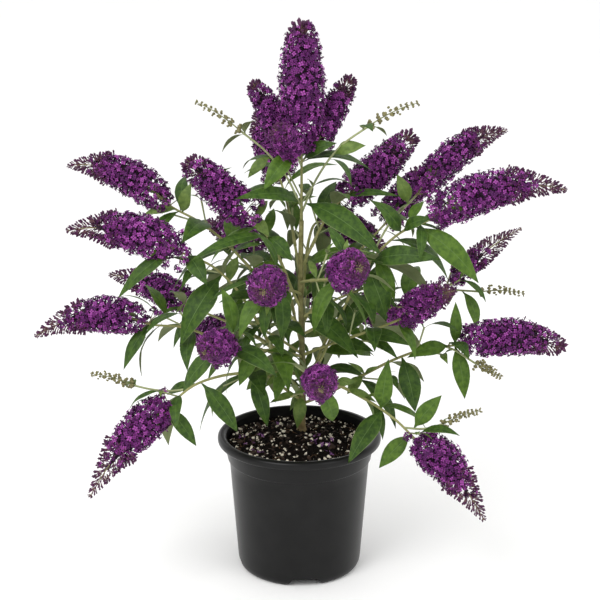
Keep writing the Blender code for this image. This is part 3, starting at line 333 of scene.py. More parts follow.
# Wedges of open room, seen from the front: before the stem, right of the pot, over the soil. Only
# broad leaves enter them. Each lies between two sight lines, given by their heights at y = 0.
Wedge = namedtuple("Wedge", "left right low high near far")
SIGHT_PLACE = (0, -1.8, 0.888)
OPEN_WEDGES = (
    Wedge(-0.0045, 0.0095, 0.345, 0.545, -0.200, -0.004),
    Wedge(-0.020, 0.022, 0.410, 0.500, -0.200, -0.004),
    Wedge(0.068, 0.230, 0.172, 0.282, -0.200, 0.030),
    Wedge(-0.085, 0.075, 0.195, 0.226, -0.200, 0.060),
)


# Growth: what each spray is made of, and what it keeps clear of


def trunk_at(z):
    """The trunk's middle and radius at height z."""
    for (low, low_r), (high, high_r) in zip(TRUNK, TRUNK[1:]):
        if z <= high[2]:
            share = (z - low[2]) / (high[2] - low[2])
            return Vector(low).lerp(Vector(high), share), low_r + (high_r - low_r) * share
    return Vector(TRUNK[-1][0]), TRUNK[-1][1]


def path_length(path):
    """The length along a path of points."""
    return sum((b - a).length for a, b in zip(path, path[1:]))


def hermite(start, leave, end, arrive, t):
    """A point on the smooth curve from start to end with the two tangents."""
    a, b = 2 * t**3 - 3 * t**2 + 1, t**3 - 2 * t**2 + t
    c, d = -2 * t**3 + 3 * t**2, t**3 - t**2
    return start * a + leave * b + end * c + arrive * d


def shoot_path(spray):
    """The whole way of a side shoot, from the trunk's middle to its bloom."""
    neck = Vector(spray.neck)
    if spray.rise is None:
        start = Vector(TRUNK[-1][0]) + UP * GAP
    else:
        start = trunk_at(spray.rise)[0]
    across = Vector((neck.x - start.x, neck.y - start.y, 0)).normalized()
    steep = math.radians(spray.steep)
    length = (neck - start).length
    leave = (across * math.cos(steep) + UP * math.sin(steep)) * length
    if spray.tip:
        arrive = (Vector(spray.tip) - neck).normalized() * length
    else:
        arrive = (across + UP * 0.3).normalized() * length
    if spray.rise is None:
        leave = UP * length
    return [hermite(start, leave, neck, arrive, i / PATH_STEPS) for i in range(PATH_STEPS + 1)]


def walk(path, share):
    """The point and the direction at a share of the path's length."""
    lengths = [(b - a).length for a, b in zip(path, path[1:])]
    left = share * sum(lengths)
    for a, b, length in zip(path, path[1:], lengths):
        if left <= length or b is path[-1]:
            return a.lerp(b, min(1.0, left / length)), (b - a).normalized()
        left -= length


def path_between(path, low, high, steps):
    """Points of a path from share low to share high, in even steps."""
    return [walk(path, low + (high - low) * i / steps)[0] for i in range(steps + 1)]


def taper(first, last, steps):
    """Radii that go from first to last in even steps."""
    return [first + (last - first) * i / steps for i in range(steps + 1)]


def nearest_point(limbs, place):
    """The point on the limbs' middle lines that is nearest to place."""
    found = []
    for limb in limbs:
        for a, b in zip(limb.points, limb.points[1:]):
            span = b - a
            share = min(1.0, max(0.0, (place - a).dot(span) / span.length_squared))
            found.append(a + span * share)
    return min(found, key=lambda point: (point - place).length)


def leaf_frame(direction, roll):
    """The direction and the upper face's normal of a leaf that hangs naturally."""
    along = direction.normalized()
    face = UP - along * UP.dot(along)
    if face.length < 0.05:
        face = along.orthogonal()
    face.normalize()
    return along, Matrix.Rotation(roll, 3, along) @ face


def leaf_tree(leaf, start):
    """A swollen blade for finding clashes, from a share of the way between foot and belly."""
    side = leaf.face.cross(leaf.along)
    half = leaf.width / 2 + LEAF_ROOM
    belly = leaf.root + leaf.along * leaf.length * LEAF_BELLY + leaf.face * leaf.length * LEAF_ARCH
    root = leaf.root.lerp(belly, start)
    foot = LEAF_FOOT + (half - LEAF_FOOT) * start
    places = [root + side * foot, root - side * foot, root - leaf.face * LEAF_FOOT * 1.4,
              belly + side * half, belly - side * half, belly - leaf.face * LEAF_ROOM_BELOW,
              leaf.root + leaf.along * (leaf.length + LEAF_ROOM)]
    return BVHTree.FromPolygons(places, LEAF_FACES)


def bloom_axis(bloom, t):
    """A bloom's axis rises a little and then bends down towards its tip."""
    neck = Vector(bloom.neck)
    span = Vector(bloom.tip) - neck
    level = math.hypot(span.x, span.y)
    return neck + span * t + UP * (4 * bloom.arch * level * t * (1 - t))


def bloom_tree(bloom):
    """A swollen bloom for finding clashes: lumpy rings about its axis, closed at both ends."""
    axis = (bloom.tip - bloom.neck).normalized()
    side = axis.cross(UP)
    side = side.normalized() if side.length > 0.2 else axis.orthogonal().normalized()
    other = axis.cross(side)
    n = BLOOM_SIDES
    points, faces = [bloom.neck], []
    for ring, (t, share) in enumerate(BLOOM_SHAPE):
        middle = bloom_axis(bloom, t)
        if bloom.kind == "blunt" and t > BLUNT_FROM:
            share = share**BLUNT_POWER
        for i in range(n):
            turn = 2 * math.pi * (i + 0.5 * (ring % 2)) / n
            lump = 1 + BLOOM_LUMP * (1 if (i + ring) % 2 else -1)
            reach = bloom.radius * share * lump + BLOOM_ROOM
            points.append(middle + side * math.cos(turn) * reach + other * math.sin(turn) * reach)
    points.append(bloom.tip)
    last = len(points) - 1
    for i in range(n):
        j = (i + 1) % n
        faces += [(0, 1 + j, 1 + i), (last - n + i, last - n + j, last)]
        for ring in range(len(BLOOM_SHAPE) - 1):
            low, high = 1 + ring * n, 1 + (ring + 1) * n
            a, b, c, d = low + i, low + j, high + j, high + i
            faces += [(a, b, c), (a, c, d)] if ring % 2 else [(a, b, d), (b, c, d)]
    return BVHTree.FromPolygons(points, faces)


def wedge_tree(wedge):
    """The six faces of a wedge of open room."""
    eye = Vector(SIGHT_PLACE)
    verts = []
    for y in (wedge.near, wedge.far):
        for height in (wedge.low, wedge.high):
            fall = (eye.z - height) / -eye.y
            for x in (wedge.left, wedge.right):
                verts.append(Vector((x, y, eye.z - fall * (y - eye.y))))
    faces = ((0, 1, 3, 2), (4, 5, 7, 6), (0, 1, 5, 4), (2, 3, 7, 6), (0, 2, 6, 4), (1, 3, 7, 5))
    return BVHTree.FromPolygons(verts, faces)


def limb_tree(limb, start=0.0):
    """A swollen four-sided limb for finding clashes."""
    verts, faces = [], []
    points = [walk(limb.points, start)[0]] + limb.points[1:]
    for k, point in enumerate(points):
        ahead = points[min(k + 1, len(points) - 1)] - points[max(k - 1, 0)]
        side = ahead.normalized().orthogonal().normalized()
        other = ahead.normalized().cross(side)
        reach = limb.radii[min(k, len(limb.radii) - 1)] + LIMB_ROOM
        for i in range(4):
            turn = math.pi * (i / 2 + 0.25)
            verts.append(point + side * math.cos(turn) * reach + other * math.sin(turn) * reach)
            if k:
                j = (i + 1) % 4
                faces.append((4 * k - 4 + i, 4 * k - 4 + j, 4 * k + j, 4 * k + i))
    return BVHTree.FromPolygons(verts, faces)


class Shoot:
    """What one spray is made of."""

    def __init__(self, spray):
        self.spray = spray
        self.name = spray.name
        self.path = shoot_path(spray)
        self.length = path_length(self.path)
        self.bough = None
        self.limbs, self.blooms, self.broad, self.leaves = [], [], [], []
        self.rng = random.Random(spray.name)


class Plant:
    """Grows every spray, and keeps each one clear of the others and of the limbs."""

    def __init__(self, fixed):
        trunk = Limb([Vector(p) for p, _ in TRUNK], [r for _, r in TRUNK])
        self.trees = [("fixed", tree) for tree in fixed] + [("trunk", limb_tree(trunk))]
        self.trees += [("open", wedge_tree(wedge)) for wedge in OPEN_WEDGES]
        self.shoots = [Shoot(spray) for spray in SPRAYS]
        for shoot in self.shoots:
            self.start(shoot)
            shoot.broad = self.broad_leaves(shoot, BROAD_LEAVES)
        for shoot in self.shoots:
            self.dress(shoot)
        for shoot in self.shoots:
            shoot.broad = self.broad_leaves(shoot, SHADE_LEAVES)[::-1] + shoot.broad
        for shoot in self.shoots:
            self.young_growth(shoot)

    def start(self, shoot):
        """The bough, the stem and the blooms, which nothing else may touch."""
        spray, share, split_radius = shoot.spray, shoot.spray.share, STEM_RADIUS
        if share:
            split_radius = BOUGH_RADIUS + (NECK_RADIUS - BOUGH_RADIUS) * share
            shoot.bough = Limb(path_between(shoot.path, 0, share, BOUGH_STEPS),
                               taper(BOUGH_RADIUS, split_radius, BOUGH_STEPS))
            self.trees.append((spray.name, limb_tree(shoot.bough, 0.25)))
            share += GAP / shoot.length
        points = path_between(shoot.path, share, 1.0, STEM_STEPS)
        radii = taper(split_radius, NECK_RADIUS, STEM_STEPS)
        if spray.tip:
            kind = "blunt" if spray.name in BLUNT_SPRAYS else "panicle"
            bloom = Bloom(kind, Vector(spray.neck), Vector(spray.tip), spray.radius,
                          spray.arch, 1.0)
            shoot.blooms.append(bloom)
            points.append(bloom_axis(bloom, BLOOM_HOLD))
            radii.append(NECK_RADIUS * 0.9)
        shoot.limbs.append(Limb(points, radii))
        for bloom in spray.extras:
            self.add_extra(shoot, bloom, share)
        begin = 0.0 if spray.rise and spray.share else 0.3
        self.trees += [(spray.name, limb_tree(limb, begin)) for limb in shoot.limbs]
        for bloom in shoot.blooms:
            body = Limb([bloom.neck, bloom.tip], [bloom.radius, bloom.radius])
            tree = limb_tree(body) if bloom.kind == "buds" else bloom_tree(bloom)
            self.trees.append((spray.name + " bloom", tree))

    def add_extra(self, shoot, bloom, share):
        """A side twig to a further bloom, bent to meet it."""
        neck, tip = Vector(bloom.neck), Vector(bloom.tip)
        start, along = walk(shoot.path, share + (1 - share) * bloom.fork)
        length = (neck - start).length
        leave = (along + (neck - start).normalized()).normalized() * length
        arrive = (tip - neck).normalized() * length
        steps = 3 if length > LONG_TWIG else 2
        points = [hermite(start, leave, neck, arrive, i / steps) for i in range(steps + 1)]
        if bloom.kind != "buds":
            points.append(bloom_axis(bloom, BLOOM_HOLD))
        shoot.limbs.append(Limb(points, [SIDE_TWIG_RADIUS] * len(points)))
        shoot.blooms.append(bloom._replace(neck=neck, tip=tip))

    def clear(self, tree, skip=(), only=None):
        """True if nothing else is touched."""
        for owner, other in self.trees:
            if owner in skip or (only and owner not in only):
                continue
            if tree.overlap(other):
                return False
        return True

    def try_leaf(self, shoot, root, along, sag, length, twig_radius):
        """Adds a leaf, turned or shortened if it would touch something, or leaves it out."""
        rng, name = shoot.rng, shoot.name
        for attempt in range(LEAF_TRIES):
            turn = rng.uniform(-0.25, 0.25) * (1 + attempt)
            wanted = Matrix.Rotation(turn, 3, "Z") @ along - UP * sag * rng.uniform(0.6, 1.4)
            direction, face = leaf_frame(wanted, rng.uniform(-0.4, 0.4))
            size = length * (1 - 0.12 * attempt)
            leaf = Leaf(root + direction * twig_radius * 0.12, direction, face, size,
                        size * LEAF_WIDTH * rng.uniform(0.88, 1.12))
            whole, outer = leaf_tree(leaf, 0.08), leaf_tree(leaf, 0.4)
            own = (name, name + " leaf", name + " bloom")
            if self.clear(whole, skip=own) and self.clear(outer, only=own[1:]):
                shoot.leaves.append(leaf)
                self.trees.append((name + " leaf", whole))
                return

    def broad_leaves(self, shoot, table):
        """Leaves of their own size, each from the nearest point of its spray's twigs."""
        found = []
        for foot, tip, width in table.get(shoot.name, ()):
            root = nearest_point(shoot.limbs, Vector(foot))
            reach = Vector(tip) - root
            along = reach.normalized()
            face = (BROAD_FACE - along * BROAD_FACE.dot(along)).normalized()
            leaf = Leaf(root, along, face, reach.length, width)
            found.append(leaf)
            self.trees.append((shoot.name + " leaf", leaf_tree(leaf, 0.08)))
        return found

    def pair(self, shoot, at, along, phase, length, sag, lean, twig_radius):
        """Two opposite leaves at a node."""
        side = Matrix.Rotation(phase, 3, along) @ along.orthogonal().normalized()
        for sign in (1, -1):
            wanted = side * sign * math.cos(lean) + along * math.sin(lean)
            self.try_leaf(shoot, at, wanted, sag, length * shoot.rng.uniform(0.85, 1.15),
                          twig_radius)

    def dress(self, shoot):
        """Pairs of leaves up the stem, with short leafy twigs at every other node."""
        spray, rng = shoot.spray, shoot.rng
        count = max(2, round((1 - spray.share) * shoot.length / INTERNODE))
        phase = rng.uniform(0, math.pi)
        for i in range(count):
            t = (i + 0.35) / (count - 0.35)
            at, along = walk(shoot.path, spray.share + (1 - spray.share) * min(t, 0.97))
            radius = STEM_RADIUS + (NECK_RADIUS - STEM_RADIUS) * t
            size = LEAF_LENGTH * (1.0 - 0.45 * max(0.0, t - 0.35))
            self.pair(shoot, at, along, phase, size, rng.uniform(0.3, 0.75), 0.6, radius)
            if i % 2 == 0:
                self.side_twig(shoot, at, along, phase + 0.6)
            phase += math.pi / 2
        if not spray.tip:
            at, along = walk(shoot.path, 0.99)
            self.pair(shoot, at, along, phase, LEAF_LENGTH * 0.6, 0.1, 0.9, NECK_RADIUS)
        for limb in shoot.limbs[1:1 + len(spray.extras)]:
            for t, size in ((0.55, 0.60), (0.93, 0.42)):
                if (limb.points[-1] - limb.points[0]).length > LONG_TWIG:
                    at, along = walk(limb.points, t)
                    self.pair(shoot, at, along, phase + t, LEAF_LENGTH * size, 0.4, 0.6,
                              SIDE_TWIG_RADIUS)

    def side_twig(self, shoot, at, along, phase):
        """A short leafy twig from the axil of a leaf."""
        side = Matrix.Rotation(phase, 3, along) @ along.orthogonal().normalized()
        for sign in (1, -1):
            direction = (side * sign + along * 0.9 + UP * 0.35).normalized()
            reach = shoot.rng.uniform(0.028, 0.045)
            foot = at + along * AXIL_STEP * (1 + 0.5 * sign)
            end = foot + direction * reach
            limb = Limb([foot + direction * GAP, end],
                        [SIDE_TWIG_RADIUS * 0.7, SIDE_TWIG_RADIUS * 0.9])
            tree = limb_tree(limb, 0.3)
            if self.clear(tree, skip=(shoot.name,)):
                shoot.limbs.append(limb)
                self.trees.append((shoot.name, tree))
                self.pair(shoot, end.lerp(foot, 0.06), direction, phase + 1.2,
                          LEAF_LENGTH * 0.56, 0.3, 0.75, SIDE_TWIG_RADIUS)

    def young_growth(self, shoot):
        """Young leaves in the shaded axils and at the end of each twig, for the scene alone."""
        shoot.rng = random.Random(shoot.name + " young")
        for number, limb in enumerate(shoot.limbs):
            size = TUFT_LEAF if number else YOUNG_LEAF
            for share in (0.97,) if number else (0.30, 0.62, 0.93):
                at, along = walk(limb.points, share)
                if share > 0.9 or (abs(at.x) <= SHADE_REACH and at.z <= SHADE_TOP):
                    self.pair(shoot, at, along, shoot.rng.uniform(0, math.pi), size, 0.1, 0.9,
                              limb.radii[-1])


def frame_trees(frame, *nodes):
    """The pot and the soil as they stand in the frame, which no leaf may touch."""
    found = []
    for node in nodes:
        mesh = frame["nodes"][node].data
        places = [v.co.copy() for v in mesh.vertices]
        found.append(BVHTree.FromPolygons(places, [list(p.vertices) for p in mesh.polygons]))
    return found


# Joined pieces


class Stock:
    """Collects vertices and faces, each face with a material number, for one joined piece."""

    def __init__(self):
        self.places = []
        self.blocks = []
        self.count = 0

    def put(self, places, faces, marks):
        faces = np.asarray(faces)
        marks = np.broadcast_to(np.asarray(marks), (len(faces),))
        self.places.append(np.asarray(places, float).reshape(-1, 3))
        self.blocks.append((faces + self.count, marks))
        self.count += len(self.places[-1])

    def put_copies(self, unit, faces, marks, turns, places, sizes):
        """Sets a small unit down at every place, turned and sized."""
        spots = np.einsum("nij,nvj->nvi", turns, unit[None] * sizes[:, None, :])
        spots = spots + places[:, None, :]
        offsets = np.arange(len(places)) * len(unit)
        many = (faces[None] + offsets[:, None, None]).reshape(-1, faces.shape[1])
        self.put(spots, many, np.tile(marks, len(places)))

    def triangles(self):
        return sum(len(faces) * (faces.shape[1] - 2) for faces, _ in self.blocks)

    def piece(self, name, materials, slot, nodes, smooth=True):
        """Makes the joined mesh, which rides on the frame in place of the CAD nodes."""
        mesh = bpy.data.meshes.new(name)
        places = np.concatenate(self.places)
        loops = np.concatenate([faces.ravel() for faces, _ in self.blocks])
        sides = np.concatenate([np.full(len(f), f.shape[1]) for f, _ in self.blocks])
        mesh.vertices.add(len(places))
        mesh.vertices.foreach_set("co", places.ravel())
        mesh.loops.add(len(loops))
        mesh.loops.foreach_set("vertex_index", loops)
        mesh.polygons.add(len(sides))
        mesh.polygons.foreach_set("loop_start", np.cumsum(sides) - sides)
        mesh.polygons.foreach_set("material_index", np.concatenate([m for _, m in self.blocks]))
        mesh.polygons.foreach_set("use_smooth", np.full(len(sides), smooth))
        mesh.update(calc_edges=True)
        mesh.validate()
        for mat in materials:
            mesh.materials.append(mat)
        return dress_up(bpy.data.objects.new(name, mesh), nodes)


def dress_up(ob, nodes):
    """Sets a piece on the body, in place of its CAD nodes."""
    if not ob.users_collection:
        bpy.context.scene.collection.objects.link(ob)
    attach(ob, "root")
    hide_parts(*nodes)
    return ob


def unit_rows(vectors):
    """Each row at length 1."""
    return vectors / np.linalg.norm(vectors, axis=-1, keepdims=True)


def turns_to(axes, spins):
    """Turning matrices whose third column is each axis, spun about it."""
    axes = unit_rows(axes)
    helper = np.where(np.abs(axes[:, 2:3]) < 0.9, (0.0, 0.0, 1.0), (1.0, 0.0, 0.0))
    one = unit_rows(np.cross(helper, axes))
    two = np.cross(axes, one)
    c, s = np.cos(spins)[:, None], np.sin(spins)[:, None]
    return np.stack([one * c + two * s, two * c - one * s, axes], axis=2)


def smooth_line(points, radii, steps):
    """A rounded path through the points, with steps pieces to each stretch."""
    p = np.array([list(v) for v in points])
    r = np.interp(np.linspace(0, 1, len(p)), np.linspace(0, 1, len(radii)), radii)
    p = np.vstack([2 * p[0] - p[1], p, 2 * p[-1] - p[-2]])
    line, widths = [], []
    for k in range(1, len(p) - 2):
        a, b, c, d = p[k - 1:k + 3]
        for t in np.arange(steps) / steps:
            line.append(0.5 * (2 * b + (c - a) * t + (2 * a - 5 * b + 4 * c - d) * t**2
                               + (3 * b - a - 3 * c + d) * t**3))
            widths.append(r[k - 1] + (r[k] - r[k - 1]) * t)
    line.append(p[-2])
    widths.append(r[-1])
    return np.array(line), np.array(widths)


def ring_quads(rows, sides):
    """Faces between closed rings of vertices, one ring after the other."""
    rings = np.arange(rows - 1)[:, None] * sides
    i = np.arange(sides)
    j = (i + 1) % sides
    return np.stack([rings + i, rings + j, rings + sides + j, rings + sides + i], -1).reshape(-1, 4)


def put_tube(stock, line, radii, sides, mark, ridges=0.0, rng=None):
    """A closed limb along a line; ridges is the share by which lengthwise ridges stand out."""
    ahead = unit_rows(np.gradient(line, axis=0))
    across = np.zeros_like(line)
    last = Vector(ahead[0]).orthogonal().normalized()
    for k, way in enumerate(ahead):
        way = Vector(way)
        last = (last - way * last.dot(way)).normalized()
        across[k] = last
    other = np.cross(ahead, across)
    turn = np.arange(sides) * 2 * math.pi / sides
    reach = radii[:, None] * np.ones(sides)[None]
    if ridges:
        shape = np.array([rng.uniform(-1, 1) for _ in range(sides)])
        drift = np.array([[rng.uniform(-0.5, 0.5) for _ in range(sides)] for _ in line])
        reach = reach * (1 + ridges * (shape[None] + drift))
    spots = (line[:, None] + across[:, None] * (np.cos(turn)[None] * reach)[..., None]
             + other[:, None] * (np.sin(turn)[None] * reach)[..., None])
    stock.put(spots, ring_quads(len(line), sides), mark)
    i = np.arange(sides)
    j = (i + 1) % sides
    all_rings = sides * len(line)
    caps = [np.stack([0 * i, j - all_rings, i - all_rings], 1),
            np.stack([0 * i + 1, i - sides, j - sides], 1)]
    stock.put((line[0], line[-1]), np.concatenate(caps), mark)


def ball_unit():
    """A small faceted ball; the radius is 1."""
    bm = bmesh.new()
    bmesh.ops.create_icosphere(bm, subdivisions=1, radius=1)
    places = np.array([list(v.co) for v in bm.verts])
    faces = np.array([[v.index for v in f.verts] for f in bm.faces])
    bm.free()
    return places, faces


# Leaves

BLADE_ROWS = 10
BLADE_OUTLINE = (
    # share of the length, share of the half width
    (0.0, 0.05), (0.06, 0.06), (0.12, 0.28), (0.22, 0.68), (0.34, 0.95), (0.44, 1.0),
    (0.58, 0.93), (0.72, 0.71), (0.84, 0.43), (0.93, 0.19), (1.0, 0.0),
)
BLADE_FOLD = 0.24
BLADE_CURL = 0.20
BLADE_BODY = 0.00035
BLADE_TWIST = 0.5
BLADE_WAVE = 0.10
VEIN_RISE = 0.018
TIP_DROOP = 0.09
YOUNG_LENGTH = 0.045

# Lengthwise lines of a blade, as shares of the half width: margin, vein line and both rib edges
COLUMNS = np.array((-1.0, -0.96, -0.5, -0.022, 0.022, 0.5, 0.96, 1.0))

# Materials of a blade: the first three are tones of the upper side, given leaf by leaf
TONE, YOUNG_TONE, RIB, MARGIN, UNDERSIDE = 0, 2, 3, 4, 5
TOP_MARKS = (MARGIN, TONE, TONE, RIB, TONE, TONE, MARGIN)
UNDER_MARKS = (UNDERSIDE, UNDERSIDE, UNDERSIDE, MARGIN, UNDERSIDE, UNDERSIDE, UNDERSIDE)


def blade_sheets(leaf, twist, wave, phase):
    """The places of a blade's upper side and of its underside."""
    v = np.linspace(0, 1, BLADE_ROWS + 1)
    outline = np.array(BLADE_OUTLINE)
    half = np.interp(v, outline[:, 0], outline[:, 1]) * leaf.width / 2
    along, face = np.array(leaf.along), np.array(leaf.face)
    side = np.cross(face, along)
    rise = LEAF_ARCH * leaf.length * np.sin(math.pi * v**0.8)
    rise = rise - TIP_DROOP * leaf.length * np.clip(v - 0.55, 0, 1)**2 / 0.2
    axis = np.array(leaf.root) + along * (leaf.length * v)[:, None] + face * rise[:, None]
    turn = twist * v
    sides = side * np.cos(turn)[:, None] + face * np.sin(turn)[:, None]
    faces = face * np.cos(turn)[:, None] - side * np.sin(turn)[:, None]
    s = COLUMNS[None]
    lift = half[:, None] * (BLADE_FOLD * np.abs(s) - BLADE_CURL * s**4)
    lift = lift + half[:, None] * wave * np.sin(v * 9 + phase)[:, None] * s**2
    vein = VEIN_RISE * half.max() * np.where(np.arange(len(v)) % 2, 1, -1)
    lift = lift + vein[:, None] * (np.abs(s) > 0.1) * (np.abs(s) < 0.9)
    top = (axis[:, None] + sides[:, None] * (s * half[:, None])[..., None]
           + faces[:, None] * lift[..., None])
    return top, top - faces[:, None] * (BLADE_BODY * (1 - s**2) * np.ones_like(lift))[..., None]


def grid_faces(rows, columns):
    """Faces of a sheet of vertices, row after row."""
    i = np.arange(rows - 1)[:, None] * columns
    j = np.arange(columns - 1)[None]
    return np.stack([i + j, i + columns + j, i + columns + j + 1, i + j + 1], axis=-1).reshape(-1, 4)


def put_leaf(stock, leaf, rng):
    """Both sides of a blade, in triangles, so that they bend along the same lines."""
    twist, wave = rng.uniform(-BLADE_TWIST, BLADE_TWIST), rng.uniform(0.0, BLADE_WAVE)
    top, under = blade_sheets(leaf, twist, wave, rng.uniform(0, 6))
    tone = YOUNG_TONE if leaf.length < YOUNG_LENGTH else rng.choice((0, 0, 1))
    a, b, c, d = grid_faces(BLADE_ROWS + 1, len(COLUMNS)).T
    faces = np.concatenate([np.stack([a, b, c], 1), np.stack([a, c, d], 1)])
    marks = np.where(np.array(TOP_MARKS) == TONE, tone, TOP_MARKS)
    stock.put(top, faces, np.tile(marks, 2 * BLADE_ROWS))
    stock.put(under, faces[:, ::-1], np.tile(UNDER_MARKS, 2 * BLADE_ROWS))


# Blooms

# Materials of a panicle: the first three are tones of the lobes, given floret by floret, from painted shade
# over plain violet to painted highlight
LOBE, SHADED_THROAT, TUBE, BUD_STALK, BUD_TIP, GREEN_STALK, SHADE_CORE = 0, 3, 4, 5, 6, 7, 8
TONE_SHARES = (0.36, 0.38, 0.26)

# Floret: its radius, and the outline of one lobe as reach, swing in radians and lift
FLORET = 0.0032
LOBE_OUTLINE = ((0.20, -0.75, 0.0), (0.66, -0.62, 0.10), (0.98, -0.22, -0.04),
                (0.98, 0.22, -0.04), (0.66, 0.62, 0.10), (0.20, 0.75, 0.0))

# Axis of a panicle, and the share of the radius at its foot and at both kinds of tip
AXIS_RADIUS = 0.0014
AXIS_TIP_RADIUS = 0.0005
AXIS_STEPS = 60
FOOT_SHARE = 0.20
SLENDER_TIP = 0.12
BLUNT_TIP = 0.30
GOLDEN_TURN = 2.39996

# Cymes: rings of small round clusters, from the first share of the axis on
CYME_STEP = 0.0098
CYME_CAP = math.radians(78)
CYME_FIRST = 0.05
CYME_REACH = 0.004
CYME_BULK = 0.36
LEAST_BULK = 0.0035
FULL_CYME = 0.012
FLORETS_IN_CYME = 7

# The share of cymes that is missing: at the foot, from the open share on, where buds begin and at
# the last ring in flower
OPEN_FROM = 0.25
MISSING = (0.30, 0.05, 0.05, 0.65)

# Loose cymes stand apart on stalks, round the first steps of the axis
LOOSE_CYMES = 8
LOOSE_FLORETS = 8
LOOSE_STEPS = 8
LOOSE_TURN = 2.4
LOOSE_CAP = math.radians(120)
LOOSE_RADIUS = 0.0055
LOOSE_STALK = np.array((0.0008, 0.0007, 0.0006))

# Unopened buds on stalks: in whorls near the tip, in a last tuft, and among the florets
STICK_LENGTH = 0.0068
STICK_DEPTH = 0.004
LONGEST_STICK = 0.0104
WHORL_STEP = 0.0037
TUFT = math.radians(62)
FLORETS_TO_A_STICK = 8

# How far up a panicle is in flower. Buds take over along the closed share below that height.
RIPE = {"crown": 0.94, "left_upper": 0.88, "right_upper": 0.86, "right_low": 0.86,
        "right_rear": 0.48, "front_left": 0.89, "front_right": 0.89, "front_low": 0.89,
        "front_low_left": 0.89}
RIPE_USUAL = 0.76
RIPE_BESIDE = 0.86
CLOSED_SHARE = 0.17

# Blooms that face forward show green stalks at their heart, in so many whorls
GREEN_HEARTS = ("front_left", "front_right", "front_low", "front_low_left")
YOUNG_WHORLS = 5

# The closed end and the painted shade inside both kinds of panicle: spread of the whorls, radii left
# bare at the tip, buds in the last tuft, and the share of the radius that the dark core of painted
# shade fills. The core starts at a share of the axis and thins out over its last share.
End = namedtuple("End", "spread bare tuft core")
ENDS = {"blunt": End(1.0, 1.6, 13, 0.66), "panicle": End(1.22, 0.9, 5, 0.55)}
CORE_START = 0.24
CORE_END = 0.22
LEAST_REACH = 0.0036

Axis = namedtuple("Axis", "t line ahead radius length")


def circle(count, radius, height, start=0.0):
    """Places round +Z."""
    turns = [2 * math.pi * (k + start) / count for k in range(count)]
    return [(radius * math.cos(a), radius * math.sin(a), height) for a in turns]


def floret_unit():
    """Four round lobes that face +Z on a slender tube; the radius is 1."""
    places, faces, marks = [], [], []
    for k in range(4):
        start = len(places)
        for reach, swing, lift in LOBE_OUTLINE:
            a = math.pi / 2 * k + swing
            places.append((reach * math.cos(a), reach * math.sin(a), lift))
        faces += [(start, start + 1, start + 4), (start, start + 4, start + 5),
                  (start + 1, start + 2, start + 3), (start + 1, start + 3, start + 4)]
        marks += [LOBE] * 4
    throat = len(places)
    foot = throat + 4
    places += circle(4, 0.25, 0.03, 0.5) + circle(4, 0.17, -1.7, 0.5)
    # The throat is painted dark, as painted shade in the recess
    faces += [(throat, throat + 1, throat + 2), (throat, throat + 2, throat + 3)]
    for k in range(4):
        n = (k + 1) % 4
        faces += [(throat + k, foot + k, foot + n), (throat + k, foot + n, throat + n)]
    return np.array(places), np.array(faces), np.array(marks + [SHADED_THROAT] * 2 + [TUBE] * 8)


def stick_unit():
    """An unopened bud on its stalk, from the origin up to height 1."""
    places = circle(3, 0.055, 0.0) + circle(3, 0.075, 0.55) + circle(3, 0.16, 0.83)
    faces = []
    for ring in range(2):
        for k in range(3):
            a, b = 3 * ring + k, 3 * ring + (k + 1) % 3
            faces += [(a, b, b + 3), (a, b + 3, a + 3)]
    faces += [(6 + k, 6 + (k + 1) % 3, 9) for k in range(3)]
    marks = [BUD_STALK] * 6 + [BUD_TIP] * 9
    return np.array(places + [(0, 0, 1.0)]), np.array(faces), np.array(marks)


def put_sticks(stock, places, ways, lengths, rng, green=False):
    """Unopened buds on stalks; green ones have stalks like the axis."""
    unit, faces, marks = stick_unit()
    marks = np.where(marks == BUD_STALK, GREEN_STALK, marks) if green else marks
    turns = turns_to(ways, rng.uniform(0, 6.3, len(ways)))
    stock.put_copies(unit, faces, marks, turns, places, lengths[:, None] * np.ones(3))


def bloom_frame(bloom):
    """The axis of a bloom in small steps, with its directions and the outline's radius."""
    t = np.linspace(0, 1, AXIS_STEPS + 1)
    line = np.array([list(bloom_axis(bloom, x)) for x in t])
    shape = np.array(((0.0, FOOT_SHARE),) + BLOOM_SHAPE + ((1.0, SLENDER_TIP),))
    if bloom.kind == "blunt":
        blunt = (shape[:, 0] > BLUNT_FROM) & (shape[:, 0] < 1)
        shape[:, 1] = np.where(blunt, shape[:, 1]**BLUNT_POWER, shape[:, 1])
        shape[-1, 1] = BLUNT_TIP
    return Axis(t, line, unit_rows(np.gradient(line, axis=0)),
                np.interp(t, shape[:, 0], shape[:, 1]) * bloom.radius,
                np.linalg.norm(np.diff(line, axis=0), axis=1).sum())


def around(ahead, turn):
    """The outward directions at angles round an axis."""
    helper = np.array((0.0, 0.0, 1.0)) if abs(ahead[2]) < 0.9 else np.array((1.0, 0.0, 0.0))
    one = np.cross(helper, ahead)
    one = one / np.linalg.norm(one)
    two = np.cross(ahead, one)
    return np.cos(turn)[:, None] * one + np.sin(turn)[:, None] * two


def cap_directions(way, count, spread, spin):
    """Directions spread evenly over a cap about way."""
    k = np.arange(count) + 0.5
    lean = np.arccos(1 - k / count * (1 - math.cos(spread)))
    turn = k * GOLDEN_TURN + spin
    frame = turns_to(way[None], np.array([0.0]))[0]
    local = np.stack([np.sin(lean) * np.cos(turn), np.sin(lean) * np.sin(turn), np.cos(lean)])
    return (frame @ local).T


def closed_share(ripe):
    """How much of a panicle's length goes over from open florets to buds."""
    return min(CLOSED_SHARE, (1 - ripe) + 0.05)


